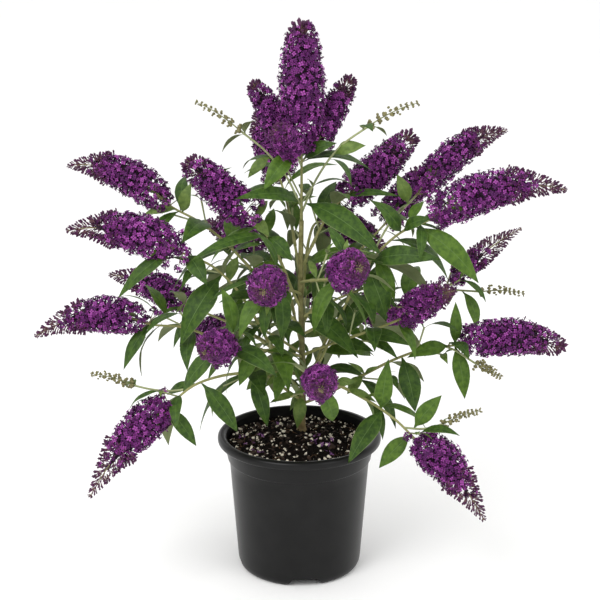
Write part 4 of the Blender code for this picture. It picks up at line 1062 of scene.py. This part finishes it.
def cyme_places(axis, ripe, rng):
    """Where florets sit and face: small round cymes in rings up the axis."""
    rows = max(2, round(axis.length * ripe / CYME_STEP))
    places, ways = [], []
    for row in range(rows + 1):
        share = CYME_FIRST + (ripe - CYME_FIRST) * row / rows
        k = min(AXIS_STEPS, round(share * AXIS_STEPS))
        at, ahead, r = axis.line[k], axis.ahead[k], max(CYME_REACH, axis.radius[k])
        count = max(4, round(2 * math.pi * 0.82 * r / CYME_STEP))
        turn = 2 * math.pi * (np.arange(count) + 0.5 * (row % 2)) / count
        turn = turn + rng.normal(0, 0.10, count)
        missing = np.interp(share, (CYME_FIRST, OPEN_FROM, ripe - closed_share(ripe), ripe), MISSING)
        for out in around(ahead, turn):
            if rng.random() < missing:
                continue
            # Cymes stand out at the foot and point more and more along the axis
            way = unit_rows(out + ahead * (0.2 + 0.9 * share))
            bulk = max(LEAST_BULK, CYME_BULK * r) * rng.uniform(0.80, 1.20)
            centre = at + out * (r * rng.uniform(0.94, 1.05) - bulk)
            centre = centre + ahead * rng.normal(0, 0.0014)
            number = FLORETS_IN_CYME if r > FULL_CYME else FLORETS_IN_CYME - 2
            caps = cap_directions(way, number, CYME_CAP, rng.uniform(0, 6.3))
            places.append(centre + caps * bulk * rng.uniform(0.82, 1.20, (number, 1)))
            ways.append(caps * 0.75 + way * 0.4 + rng.normal(0, 0.16, (number, 3)))
    return np.concatenate(places), np.concatenate(ways)


def loose_cymes(stock, bloom, axis, rng):
    """The lowest cymes of a panicle stand apart on stalks of their own."""
    places, ways = [], []
    for k in range(LOOSE_CYMES):
        at = int(rng.integers(0, LOOSE_STEPS))
        foot, ahead = axis.line[at], axis.ahead[at]
        out = around(ahead, np.array([k * LOOSE_TURN + rng.uniform(0, 1)]))[0]
        way = unit_rows(out + ahead * rng.uniform(-0.3, 0.5))
        end = foot + way * bloom.radius * rng.uniform(0.60, 0.92)
        stalk = np.array([foot, (foot + end) / 2 + ahead * 0.001, end])
        put_tube(stock, stalk, LOOSE_STALK, sides=4, mark=GREEN_STALK)
        caps = cap_directions(way, LOOSE_FLORETS, LOOSE_CAP, rng.uniform(0, 6))
        places.append(end + caps * LOOSE_RADIUS)
        ways.append(caps + rng.normal(0, 0.15, (LOOSE_FLORETS, 3)))
    return np.concatenate(places), np.concatenate(ways)


def put_whorls(stock, axis, end, start, young, rng):
    """The closed end of a panicle: whorls of buds on stalks, shorter and nearer to the tip."""
    last = 1 - max(LEAST_REACH, axis.radius[-1]) * end.bare / axis.length
    rings = max(3, round((last - start) * axis.length / WHORL_STEP))
    feet, ways, lengths = [], [], []
    for ring in range(rings + 1):
        share = start + (last - start) * ring / rings
        k = min(AXIS_STEPS, round(share * AXIS_STEPS))
        at, ahead = axis.line[k], axis.ahead[k]
        reach = max(axis.radius[k] * end.spread, LEAST_REACH)
        count = round(np.interp(reach, (0.003, 0.012, 0.030), (5, 8, 15)))
        turn = 2 * math.pi * (np.arange(count) + 0.5 * (ring % 2)) / count
        outs = around(ahead, turn + rng.normal(0, 0.14, count))
        lean = rng.uniform(0.25, 0.75, (count, 1)) + 0.9 * (ring / rings)**2
        # Stalks start inside the outline, so that their tips make it
        tall = min(reach * 1.08, LONGEST_STICK) * rng.uniform(0.78, 1.14, count)
        feet.append(at + outs * np.maximum(0, reach * 0.95 - tall * 0.8)[:, None])
        ways.append(outs + ahead * lean)
        lengths.append(tall)
    feet.append(np.tile(at, (end.tuft, 1)))
    ways.append(cap_directions(ahead, end.tuft, TUFT, 0.0))
    lengths.append(reach * rng.uniform(0.85, 1.15, end.tuft))
    split = len(ways) - young
    for part in (slice(0, split), slice(split, None)):
        if ways[part]:
            put_sticks(stock, np.concatenate(feet[part]), np.concatenate(ways[part]),
                       np.concatenate(lengths[part]), rng, part.stop is None)


def put_panicle(stock, name, bloom, rng):
    """Florets on the open part, bud sticks towards the tip, and the axis."""
    ripe = RIPE.get(name, RIPE_USUAL)
    if bloom.fork < 1:
        ripe = min(ripe, RIPE_BESIDE)
    axis, end = bloom_frame(bloom), ENDS[bloom.kind]
    thin = np.interp(axis.t[::4], (0, 1), (AXIS_RADIUS, AXIS_TIP_RADIUS))
    put_tube(stock, axis.line[::4], thin, sides=5, mark=GREEN_STALK)
    # A dark core of painted shade, so that nothing shows through between the cymes
    core = (axis.t > CORE_START) & (axis.t < ripe)
    thick = axis.radius * (end.core * np.clip((ripe - axis.t) / CORE_END, 0.3, 1))
    put_tube(stock, axis.line[core][::3], thick[core][::3], sides=9, mark=SHADE_CORE)
    places, ways = cyme_places(axis, ripe, rng)
    more, more_ways = loose_cymes(stock, bloom, axis, rng)
    places, ways = np.vstack([places, more]), np.vstack([ways, more_ways])
    unit, faces, marks = floret_unit()
    sizes = FLORET * rng.uniform(0.82, 1.12, len(places))
    # Lobe tones dealt at random, floret by floret: painted shade, plain violet and painted highlight
    tones = rng.choice(3, len(places), p=TONE_SHARES)
    turns = turns_to(ways, rng.uniform(0, 6.3, len(ways)))
    for tone in range(3):
        pick = tones == tone
        stock.put_copies(unit, faces, np.where(marks == LOBE, tone, marks), turns[pick],
                         places[pick], sizes[pick, None] * np.ones(3))
    young = YOUNG_WHORLS if name in GREEN_HEARTS else 0
    put_whorls(stock, axis, end, ripe - closed_share(ripe), young, rng)
    inner = len(places) // FLORETS_TO_A_STICK
    pick = rng.choice(len(places), inner, replace=False)
    middle = places[pick] - turns[pick][:, :, 2] * STICK_DEPTH
    put_sticks(stock, middle, turns[pick][:, :, 2], np.full(inner, STICK_LENGTH), rng)


# Bud spikes

SPIKE_STALK, SPIKE_BUD = range(2)
SPIKE_KNOTS = 9
SPIKE_BUD_RADIUS = 0.0029
SPIKE_STEPS = 9
SPIKE_ARCH = 0.05


def put_spike(stock, bloom, rng):
    """A green bud spike: knots of small round buds, closer and smaller to the tip."""
    neck, span = np.array(bloom.neck), np.array(bloom.tip) - np.array(bloom.neck)
    length = np.linalg.norm(span)
    ahead = span / length
    share = np.linspace(0, 1, SPIKE_STEPS)
    bend = np.array((0, 0, 1.0)) * SPIKE_ARCH * length
    line = neck + span * share[:, None] + bend * (share * (1 - share) * 4)[:, None]
    put_tube(stock, line, np.linspace(0.0010, 0.0004, SPIKE_STEPS), sides=5, mark=SPIKE_STALK)
    unit, faces = ball_unit()
    places, sizes = [], []
    for k in range(SPIKE_KNOTS):
        where = 0.02 + 0.98 * (k / (SPIKE_KNOTS - 1))**0.84
        at = np.array([np.interp(where, share, line[:, n]) for n in range(3)])
        size = SPIKE_BUD_RADIUS * (1 - 0.52 * where)
        # Three buds to a knot, each with two smaller ones that stand off from it
        for out in around(ahead, np.arange(3) * 2 * math.pi / 3 + k * math.pi / 3 + where):
            places.append(at + out * size * 1.25)
            sizes.append(size * rng.uniform(0.75, 1.05))
            for _ in range(2):
                drift = rng.normal(0, 0.45, 3) * size
                places.append(at + out * size * 2.2 + ahead * size * 0.3 + drift)
                sizes.append(size * rng.uniform(0.5, 0.8))
    turns = turns_to(np.tile(ahead, (len(places), 1)), rng.uniform(0, 6, len(places)))
    stretch = np.array(sizes)[:, None] * np.array((1, 1, 1.25))
    stock.put_copies(unit, faces, np.full(len(faces), SPIKE_BUD), turns, np.array(places), stretch)


# Pot: a moulded nursery pot

POT_STEPS = 192
POT_HEIGHT = 0.185
LIP_DEPTH = 0.011
COLLAR_RADIUS = 0.0985
COLLAR_DEPTH = 0.034
BODY_TOP_RADIUS = 0.0926
BODY_FOOT_RADIUS = 0.0822
FOOT_RADIUS = 0.0745
FOOT_WIDTH = 0.009
FLOOR_HEIGHT = 0.0115
PAD_RADIUS = 0.040
SLOPE = 0.002
WALL = 0.0022
SHARP_EDGE = math.radians(38)
WELD = 0.00001

# Rounded stretches of the outside, from the top down, as radius and height
LIP = ((0.0990, 0.1841), (0.1004, 0.1849), (0.1030, 0.1850), (0.1052, 0.1845), (0.1068, 0.1833),
       (0.1077, 0.1817), (0.1080, 0.1797), (0.1079, 0.1774), (0.1074, 0.1758), (0.1066, 0.1749),
       (0.1054, 0.1744))
COLLAR = ((0.1012, 0.1741), (0.0998, 0.1736), (0.0989, 0.1726), (0.0985, 0.1710),
          (0.0982, 0.1693), (0.0975, 0.1655), (0.0963, 0.1590), (0.0952, 0.1540),
          (0.0950, 0.1526), (0.0946, 0.1517), (0.0938, 0.1511), (0.0929, 0.1507))
HEEL = ((0.0819, 0.0095), (0.0813, 0.0068), (0.0801, 0.0040), (0.0784, 0.0018), (0.0766, 0.0005))
BODY_TOP = 0.1500
BODY_FOOT = 0.0120
BODY_STEPS = 12

# Gaps in the foot ring, fewer than in the solids, so that none shows at the sides. The first is
# so many degrees round from +X.
FOOT_GAPS = 4
NOTCH_FIRST = -84.5
NOTCH_FOOT_WIDTH = 0.046
NOTCH_TOP_WIDTH = 0.028
NOTCH_HEIGHT = 0.0105


def fine_pot_profile():
    """The moulded wall from the middle of the floor, up inside, over the rolled lip and down."""
    collar_foot = POT_HEIGHT - COLLAR_DEPTH
    lip_foot = POT_HEIGHT - LIP_DEPTH
    inside = ((0, WALL), (PAD_RADIUS, WALL), (PAD_RADIUS + SLOPE, FLOOR_HEIGHT + WALL),
              (BODY_FOOT_RADIUS - 2 * WALL, FLOOR_HEIGHT + WALL),
              (BODY_TOP_RADIUS - WALL, collar_foot), (COLLAR_RADIUS - WALL, lip_foot),
              (COLLAR_RADIUS - WALL + 0.0006, POT_HEIGHT - 0.003))
    body = tuple(zip(taper(BODY_TOP_RADIUS, BODY_FOOT_RADIUS, BODY_STEPS),
                     taper(BODY_TOP, BODY_FOOT, BODY_STEPS)))
    under = ((FOOT_RADIUS, 0), (FOOT_RADIUS - FOOT_WIDTH, 0),
             (FOOT_RADIUS - FOOT_WIDTH - SLOPE, FLOOR_HEIGHT),
             (PAD_RADIUS + SLOPE, FLOOR_HEIGHT), (PAD_RADIUS, 0), (0, 0))
    return np.array(inside + LIP + COLLAR + body + HEEL + under)


def notch_top(turn):
    """How high the foot ring is cut away at an angle round the pot."""
    pitch = 360 / FOOT_GAPS
    off = (np.degrees(turn) - NOTCH_FIRST + pitch / 2) % pitch - pitch / 2
    reach = np.abs(np.radians(off)) * FOOT_RADIUS
    share = (NOTCH_FOOT_WIDTH / 2 - reach) / ((NOTCH_FOOT_WIDTH - NOTCH_TOP_WIDTH) / 2)
    return NOTCH_HEIGHT * np.clip(share, 0, 1)


def make_pot(plastic):
    """The pot turned from its profile, with gaps cut up into its foot ring."""
    profile = fine_pot_profile()
    turn = np.arange(POT_STEPS) * 2 * math.pi / POT_STEPS
    r, z = profile[:, :1], np.repeat(profile[:, 1:], POT_STEPS, axis=1)
    foot = (r > FOOT_RADIUS - FOOT_WIDTH - SLOPE - 0.0001) & (r < BODY_FOOT_RADIUS + 0.001)
    z = np.where(foot & (z < NOTCH_HEIGHT), np.maximum(z, notch_top(turn)[None]), z)
    stock = Stock()
    stock.put(np.stack([r * np.cos(turn), r * np.sin(turn), z], axis=-1),
              ring_quads(len(profile), POT_STEPS)[:, ::-1], 0)
    pot = stock.piece("pot_shell", [plastic], "pot_plastic", ["pot"])
    weld(pot)
    pot.data.set_sharp_from_angle(angle=SHARP_EDGE)


def weld(ob):
    """Joins the places that fall together, such as those in the middle of the floor."""
    bm = bmesh.new()
    bm.from_mesh(ob.data)
    bmesh.ops.remove_doubles(bm, verts=bm.verts, dist=WELD)
    bmesh.ops.dissolve_degenerate(bm, edges=bm.edges, dist=WELD)
    bm.to_mesh(ob.data)
    bm.free()


# Soil: the top of the root ball, with a low mound round the stem

SOIL_EDGE = POT_HEIGHT - 0.0125
SOIL_RADIUS = COLLAR_RADIUS - 0.0035
MOUND_REACH = COLLAR_RADIUS - 0.006
SOIL_RINGS = 60
SOIL_STEPS = 150
PEAT, PERLITE, BARK_CHIP, FIBRE, FALLEN_LOBE, FALLEN_SHADED_THROAT = range(6)

# Crumbly waves: width and height
CRUMBS = ((0.034, 0.0014), (0.013, 0.0014), (0.0062, 0.0012), (0.0031, 0.0007))

# Loose grains: count, least and greatest radius, material and flatness
GRAINS = (
    (430, 0.0009, 0.0034, PERLITE, 0.75),
    (420, 0.0014, 0.0050, BARK_CHIP, 0.30),
    (420, 0.0012, 0.0038, PEAT, 0.8),
)
FIBRE_COUNT = 70
FIBRE_RADIUS = 0.00028

# Where florets have fallen, three to each place: picked by eye on the photograph, and turned to
# metres on the soil by a scratch program
FALLEN = ((-0.065, -0.012), (-0.054, -0.039), (-0.074, 0.017), (-0.026, 0.047), (-0.049, -0.004),
          (0.025, -0.026), (0.035, -0.033), (0.048, -0.016), (0.040, -0.046), (0.030, -0.004))


def soil_height(x, y):
    """The crumbly top of the potting mix, with its mound round the stem."""
    share = np.hypot(x, y) / MOUND_REACH
    fall = np.clip((share - 0.26) / 0.74 * 1.25, 0, 1)
    z = SOIL_MOUND + (SOIL_EDGE - SOIL_MOUND) * (0.5 - 0.5 * np.cos(math.pi * fall))
    for size, tall in CRUMBS:
        k = 2 * math.pi / size
        z = z + tall * (np.sin(x * k + 1.7 * np.sin(y * k * 0.7)) * np.sin(y * k * 1.1 + x * k * 0.3))
    return z


def make_soil(mats):
    """The crumbly surface with loose grains, fibres and fallen florets."""
    rng = np.random.default_rng(41)
    r = SOIL_RADIUS * np.sqrt(np.linspace(0.0001, 1, SOIL_RINGS))[:, None]
    turn = np.linspace(0, 2 * math.pi, SOIL_STEPS + 1)[None]
    x, y = r * np.cos(turn), r * np.sin(turn)
    z = soil_height(x, y)
    stock = Stock()
    stock.put(np.stack([x, y, z], axis=-1), grid_faces(SOIL_RINGS, SOIL_STEPS + 1)[:, ::-1], PEAT)
    unit, faces = ball_unit()
    for count, low, high, mark, flat in GRAINS:
        r = (SOIL_RADIUS - 0.002) * np.sqrt(rng.uniform(0.01, 1, count))
        a = rng.uniform(0, 2 * math.pi, count)
        x, y = r * np.cos(a), r * np.sin(a)
        size = low + (high - low) * rng.uniform(0, 1, count)**2
        z = soil_height(x, y) + size * 0.15
        stretch = size[:, None] * rng.uniform(0.65, 1.15, (count, 3)) * np.array((1, 1, flat))
        tilt = np.stack([rng.normal(0, 0.5, count), rng.normal(0, 0.5, count), np.ones(count)], 1)
        crumbly = unit * rng.uniform(0.72, 1.20, (len(unit), 1))
        stock.put_copies(crumbly, faces, np.full(len(faces), mark),
                         turns_to(tilt, rng.uniform(0, 6, count)), np.stack([x, y, z], 1), stretch)
    for _ in range(FIBRE_COUNT):
        a = rng.uniform(0, 6.3)
        r = SOIL_RADIUS * math.sqrt(rng.uniform(0, 0.85))
        way = rng.uniform(0, 6.3)
        s = np.linspace(-0.5, 0.5, 5) * rng.uniform(0.006, 0.020)
        x = r * math.cos(a) + s * math.cos(way) + 9 * s**2 * math.sin(way)
        y = r * math.sin(a) + s * math.sin(way) - 9 * s**2 * math.cos(way)
        line = np.stack([x, y, soil_height(x, y) + 0.0006], 1)
        put_tube(stock, line, np.full(5, FIBRE_RADIUS), sides=3, mark=FIBRE)
    unit, faces, marks = floret_unit()
    places = np.array([(x + rng.normal(0, 0.004), y + rng.normal(0, 0.004), 0)
                       for x, y in FALLEN for _ in range(3)])
    places[:, 2] = soil_height(places[:, 0], places[:, 1]) + 0.0012
    ways = rng.normal(0, 0.8, places.shape) + np.array((0, 0, 0.7))
    # Throats of fallen florets carry painted shade too
    marks = np.where(marks == SHADED_THROAT, FALLEN_SHADED_THROAT, FALLEN_LOBE)
    stock.put_copies(unit, faces, marks, turns_to(ways, rng.uniform(0, 6, len(ways))), places,
                     np.full((len(places), 3), FLORET))
    stock.piece("soil_top", mats, "potting_soil", ["soil"], smooth=False)


# Stem, boughs and twigs

# Height of the ridges in the bark, and how slender the stem and boughs are beside their solids
RIDGES = 0.07
STEM_SHARE = 0.88
BOUGH_SHARE = 0.76


def make_limbs(plant, mats):
    """The bark-ridged stem with its boughs, and the finer twigs of every spray."""
    rng = random.Random(7)
    wood = Stock()
    radii = [r for _, r in TRUNK]
    line, _ = smooth_line([Vector(p) for p, _ in TRUNK], radii, 6)
    radii = np.interp(line[:, 2], [p[2] for p, _ in TRUNK], radii)
    put_tube(wood, line, radii * STEM_SHARE, sides=18, mark=0, ridges=RIDGES, rng=rng)
    boughs = [shoot for shoot in plant.shoots if shoot.bough]
    for shoot in boughs:
        line, radii = smooth_line(*shoot.bough, 5)
        put_tube(wood, line, radii * BOUGH_SHARE, sides=12, mark=1, ridges=RIDGES * 0.7, rng=rng)
    wood.piece("bark", mats[:2], "green_bark", ["trunk"] + ["bough_" + s.name for s in boughs])
    twigs = Stock()
    for shoot in plant.shoots:
        for number, limb in enumerate(shoot.limbs):
            line, radii = smooth_line(*limb, 5)
            # The first limb of a spray has the bark of its bough
            bark = 1 if number else 0
            put_tube(twigs, line, radii, sides=8, mark=bark, ridges=RIDGES * 0.5, rng=rng)
    twigs.piece("twigs", mats[1:], "foliage", ["spray_" + shoot.name for shoot in plant.shoots])


# Foliage and bloom in joined pieces

# Triangles after which a joined piece ends
FULL_PIECE = 150000


def in_pieces(plant, fill, name, mats, smooth):
    """Fills stock after stock with what each spray bears, and makes a piece of each."""
    stock, nodes, number = Stock(), [], 1
    for shoot in plant.shoots:
        before = stock.count
        fill(stock, shoot)
        if stock.count > before:
            nodes.append("spray_" + shoot.name)
        if stock.triangles() > FULL_PIECE or shoot is plant.shoots[-1]:
            if stock.count:
                stock.piece("%s_%d" % (name, number), mats, "foliage", nodes, smooth)
            stock, nodes, number = Stock(), [], number + 1


# Leaves of the rule are a little slimmer than in the solids
SLIM = 0.84

# Places where the front view of the plant is open. A leaf of the rule whose middle is seen there is
# left out. They were picked as rectangles of pixels, with a map in cells of 10 pixels of where the
# photograph is white and an earlier render wasn't. A scratch program turned them to metres.
SKY_GAPS = (
    # left, right, low and high, where the sight lines cross the plane of the stem
    (0.033, 0.066, 0.547, 0.570),
    (-0.179, -0.139, 0.468, 0.504),
    (0.137, 0.178, 0.491, 0.519),
    (0.138, 0.185, 0.321, 0.351),
    (0.175, 0.225, 0.375, 0.402),
    (-0.148, -0.088, 0.241, 0.283),
    (-0.216, -0.167, 0.241, 0.266),
    (-0.136, -0.093, 0.324, 0.362),
    (-0.024, 0.001, 0.501, 0.532),
    (0.003, 0.021, 0.462, 0.483),
    (0.006, 0.024, 0.410, 0.428),
    (0.066, 0.098, 0.241, 0.263),
)


def in_sky_gap(leaf):
    """Whether a leaf's middle is seen, from the front, where the plant is open."""
    middle = leaf.root + leaf.along * leaf.length * 0.55
    sight = Vector(SIGHT_PLACE)
    there = sight + (middle - sight) * (sight.y / (sight.y - middle.y))
    return any(left < there.x < right and low < there.z < high
               for left, right, low, high in SKY_GAPS)


def fill_leaves(stock, shoot):
    """Broad leaves as they are, and the leaves of the rule, slimmer."""
    rng = random.Random(shoot.name + " blades")
    slim = [leaf._replace(width=leaf.width * SLIM) for leaf in shoot.leaves
            if not in_sky_gap(leaf)]
    for leaf in shoot.broad + slim:
        put_leaf(stock, leaf, rng)


def seed_of(name):
    """A seed that is the same on every run."""
    return sum((k + 1) * ord(c) for k, c in enumerate(name))


def fill_blooms(stock, shoot):
    """The panicles of a spray."""
    rng = np.random.default_rng(seed_of(shoot.name))
    for bloom in shoot.blooms:
        if bloom.kind != "buds":
            put_panicle(stock, shoot.name, bloom, rng)


def make_spikes(plant, mats):
    """All green bud spikes in one piece."""
    stock, nodes = Stock(), []
    for shoot in plant.shoots:
        rng = np.random.default_rng(seed_of(shoot.name) + 1)
        for bloom in shoot.blooms:
            if bloom.kind == "buds":
                put_spike(stock, bloom, rng)
                nodes.append("spray_" + shoot.name)
    stock.piece("bud_spikes", mats, "foliage", nodes)


# Materials

# Shares of the noise between which one colour of a patch goes over into the other
PATCH_EDGES = (0.36, 0.64)


def hex_colour(text):
    """A plain sRGB hex colour as linear values."""
    values = [int(text[k:k + 2], 16) / 255 for k in (1, 3, 5)]
    return [v / 12.92 if v <= 0.04045 else ((v + 0.055) / 1.055)**2.4 for v in values] + [1.0]


def add(mat, kind, inputs, **settings):
    """Adds a shader node; an input is a value or another node's output."""
    node = mat.node_tree.nodes.new(kind)
    for key, value in settings.items():
        setattr(node, key, value)
    for key, value in inputs.items():
        if isinstance(value, bpy.types.NodeSocket):
            mat.node_tree.links.new(value, node.inputs[key])
        else:
            node.inputs[key].default_value = value
    return node


def surface(name, colour, other, patch, roughness, grain=0.0, depth=0.0, ior=1.45, **more):
    """A matt or glossy skin: two colours in soft patches, and a fine grain in relief (metres)."""
    mat = bpy.data.materials.new(name)
    mat.use_nodes = True
    shader = mat.node_tree.nodes["Principled BSDF"]
    where = add(mat, "ShaderNodeTexCoord", {}).outputs["Object"]
    spots = add(mat, "ShaderNodeTexNoise", {"Vector": where, "Scale": 1 / patch, "Detail": 3.0})
    ramp = add(mat, "ShaderNodeValToRGB", {"Fac": spots.outputs["Fac"]})
    for end, edge, tint in zip(ramp.color_ramp.elements, PATCH_EDGES, (colour, other)):
        end.position = edge
        end.color = hex_colour(tint)
    mat.node_tree.links.new(ramp.outputs["Color"], shader.inputs["Base Color"])
    shader.inputs["Roughness"].default_value = roughness
    shader.inputs["IOR"].default_value = ior
    for key, value in more.items():
        shader.inputs[key.replace("_", " ")].default_value = value
    if grain:
        fine = add(mat, "ShaderNodeTexNoise", {"Vector": where, "Scale": 1 / grain, "Detail": 2.0})
        bump = add(mat, "ShaderNodeBump", {"Height": fine.outputs["Fac"], "Distance": depth})
        mat.node_tree.links.new(bump.outputs["Normal"], shader.inputs["Normal"])
    return mat


def leaf_materials():
    """Skins of a leaf, in the order of the numbers in the section on leaves."""
    return [
        # Waxy upper sides of full-grown leaves: deep green with a low sheen
        surface("leaf_upper_old", "#27410e", "#3d5917", 0.006, 0.56, 0.0016, 0.00040,
                Specular_IOR_Level=0.3),
        surface("leaf_upper", "#385412", "#4e6b1e", 0.006, 0.54, 0.0016, 0.00040,
                Specular_IOR_Level=0.3),
        # Young leaves still carry grey down, so they are paler and matt
        surface("leaf_upper_young", "#4b6221", "#637932", 0.006, 0.62, 0.0012, 0.00020),
        # The sunk midrib shows as a pale line
        surface("leaf_rib", "#48642a", "#526e32", 0.020, 0.60),
        # Downy white margin, the pale line round each blade
        surface("leaf_margin", "#5c7038", "#6b7e45", 0.015, 0.70),
        # Grey felt of the underside
        surface("leaf_underside", "#6b764c", "#7a845a", 0.018, 0.80, 0.0007, 0.00012),
    ]


def bloom_materials():
    """Skins of a panicle, in the order of the numbers in the section on blooms."""
    return [
        # Open lobes: violet in three tones, from painted shade to painted highlight
        surface("petal_deep", "#420b47", "#521257", 0.009, 0.62, Specular_IOR_Level=0.3),
        surface("petal", "#5f1961", "#6e216f", 0.009, 0.60, Specular_IOR_Level=0.3),
        surface("petal_fresh", "#883888", "#984497", 0.009, 0.58, Specular_IOR_Level=0.3),
        # Throat of each floret, painted dark: painted shade in its recess
        surface("throat", "#260a20", "#300e28", 0.010, 0.75),
        # Slender tube below the lobes
        surface("floret_tube", "#401540", "#4c1a4a", 0.010, 0.65),
        # Stalk and tip of an unopened bud
        surface("bud_stalk", "#5c3a4a", "#70504f", 0.010, 0.70),
        surface("bud_tip", "#3c1436", "#521f48", 0.008, 0.65),
        # Tan green axis
        surface("bloom_axis", "#7c7650", "#8d865c", 0.015, 0.65),
        # Painted shade: a dark core inside the panicle, standing for the shade among stalks and calyces
        surface("bloom_inside", "#1c081b", "#280f26", 0.006, 0.90),
    ]


def spike_materials():
    """Skins of a bud spike."""
    return [
        # Thin green stalk, and round unopened buds in grey down
        surface("spike_stalk", "#7f8458", "#8f9468", 0.010, 0.70),
        surface("spike_bud", "#66623f", "#7c774f", 0.005, 0.75),
    ]


def limb_materials():
    """Barks of the stem, the boughs and the twigs."""
    return [
        # Young bark of the leader, going woody brown towards the soil, with painted shade of the leaves
        # darkening its lower middle
        stem_bark(),
        # Tan green bark of the boughs
        surface("bough_bark", "#84864f", "#96945f", 0.010, 0.62, 0.0009, 0.00015),
        # Downy green twigs
        surface("twig_bark", "#8d9466", "#9ca478", 0.010, 0.70),
    ]


def stem_bark():
    """Woody brown at the soil, dark olive over the lower middle as painted shade of the leaves, paler green
    above.
    """
    mat = surface("stem_bark", "#c8c4a8", "#fffff0", 0.007, 0.62, 0.0008, 0.00030)
    shader = mat.node_tree.nodes["Principled BSDF"]
    patches = shader.inputs["Base Color"].links[0].from_socket
    where = add(mat, "ShaderNodeTexCoord", {}).outputs["Object"]
    height = add(mat, "ShaderNodeSeparateXYZ", {"Vector": where}).outputs["Z"]
    share = add(mat, "ShaderNodeMapRange", {"Value": height, "From Min": 0.19, "From Max": 0.49})
    ramp = add(mat, "ShaderNodeValToRGB", {"Fac": share.outputs["Result"]})
    ramp.color_ramp.elements[0].color = hex_colour("#7f6f4c")
    ramp.color_ramp.elements[1].color = hex_colour("#9a9668")
    # These two stops are painted shade of the leaves, darkening the olive bark over the lower middle
    ramp.color_ramp.elements.new(0.25).color = hex_colour("#6c6c44")
    ramp.color_ramp.elements.new(0.55).color = hex_colour("#77744a")
    mix = add(mat, "ShaderNodeMix", {"Factor": 1.0}, data_type="RGBA", blend_type="MULTIPLY")
    mat.node_tree.links.new(ramp.outputs["Color"], mix.inputs[6])
    mat.node_tree.links.new(patches, mix.inputs[7])
    mat.node_tree.links.new(mix.outputs[2], shader.inputs["Base Color"])
    return mat


def soil_materials():
    """What the potting mix is made of, and what has fallen on it."""
    return [
        # Moist peat
        surface("peat", "#080504", "#140e09", 0.006, 0.95, 0.0012, 0.0006,
                Specular_IOR_Level=0.15),
        # Perlite grains, cream white and chalky
        surface("perlite", "#d6cdb9", "#efe7d6", 0.004, 0.85, 0.0006, 0.0002),
        # Composted bark chips
        surface("bark_chip", "#20140d", "#3c281a", 0.006, 0.85, 0.0008, 0.0003),
        # Coarse fibres
        surface("fibre", "#5a4028", "#7a5a3a", 0.006, 0.85),
        # Fallen, faded florets, and their throats painted dark as painted shade in the recess
        surface("fallen_floret", "#7a4c82", "#94669a", 0.006, 0.65),
        surface("fallen_throat", "#4a2a50", "#573458", 0.006, 0.70),
    ]


def pot_plastic():
    """Injection-moulded black polypropylene: a soft sheen with a faint mottle of dust."""
    return surface("pot_plastic", "#0b0b0b", "#111111", 0.030, 0.33, 0.0011, 0.00004, ior=1.49,
                   Specular_IOR_Level=0.22)


# Stage

FLOOR_REACH = 20
DAYLIGHT = 1.08

# Softboxes: place, diameter and power. Both aim at the middle of the plant.
LIGHT_AIM = (0, 0, 0.35)
SOFTBOXES = {
    "key_softbox": ((-1.4, -2.0, 2.6), 1.6, 50),
    "fill_softbox": ((1.8, -1.4, 1.6), 1.8, 12),
}

# Camera: the photograph's viewing angle, as the ellipses of the pot give it; tilt in degrees
LENS = 87.2
SENSOR = 36.0
CAMERA_PLACE = (0.0009, -1.8, 0.888)
CAMERA_TILT = 16.14
CAMERA_REACH = 60.0


def area_light(name, place, size, power):
    """A round softbox."""
    lamp = bpy.data.lights.new(name, "AREA")
    lamp.shape = "DISK"
    lamp.size = size
    lamp.energy = power
    ob = bpy.data.objects.new(name, lamp)
    bpy.context.scene.collection.objects.link(ob)
    ob.location = place
    ob.rotation_euler = (Vector(LIGHT_AIM) - Vector(place)).to_track_quat("-Z", "Y").to_euler()
    return ob


def make_stage():
    """A plain pale floor, two softboxes and soft white light from all round."""
    scene = bpy.context.scene
    mesh = bpy.data.meshes.new("studio_floor")
    corners = [(FLOOR_REACH * x, FLOOR_REACH * y, 0) for x, y in ((-1, -1), (1, -1), (1, 1), (-1, 1))]
    mesh.from_pydata(corners, [], [(0, 1, 2, 3)])
    floor = bpy.data.objects.new("studio_floor", mesh)
    scene.collection.objects.link(floor)
    # Plain matt studio paper
    mesh.materials.append(surface("studio_floor", "#f7f7f6", "#f9f9f8", 0.5, 0.7))
    lights = [area_light(name, *values) for name, values in SOFTBOXES.items()]
    world = bpy.data.worlds.new("studio")
    world.use_nodes = True
    world.node_tree.nodes["Background"].inputs["Color"].default_value = (1, 1, 1, 1)
    world.node_tree.nodes["Background"].inputs["Strength"].default_value = DAYLIGHT
    scene.world = world
    scene.view_settings.view_transform = "Standard"


def make_camera():
    """Looks along +Y and down, at the angle of the photograph."""
    data = bpy.data.cameras.new("camera")
    data.lens = LENS
    data.sensor_width = SENSOR
    data.clip_end = CAMERA_REACH
    camera = bpy.data.objects.new("camera", data)
    bpy.context.scene.collection.objects.link(camera)
    camera.location = CAMERA_PLACE
    camera.rotation_euler = (math.radians(90 - CAMERA_TILT), 0, 0)
    bpy.context.scene.camera = camera


def main():
    """Grows the plant, makes every piece, the stage and the camera."""
    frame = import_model()
    plant = Plant(frame_trees(frame, "pot", "soil"))
    make_pot(pot_plastic())
    make_soil(soil_materials())
    make_limbs(plant, limb_materials())
    in_pieces(plant, fill_leaves, "leaves", leaf_materials(), True)
    in_pieces(plant, fill_blooms, "bloom", bloom_materials(), False)
    make_spikes(plant, spike_materials())
    make_stage()
    make_camera()


main()
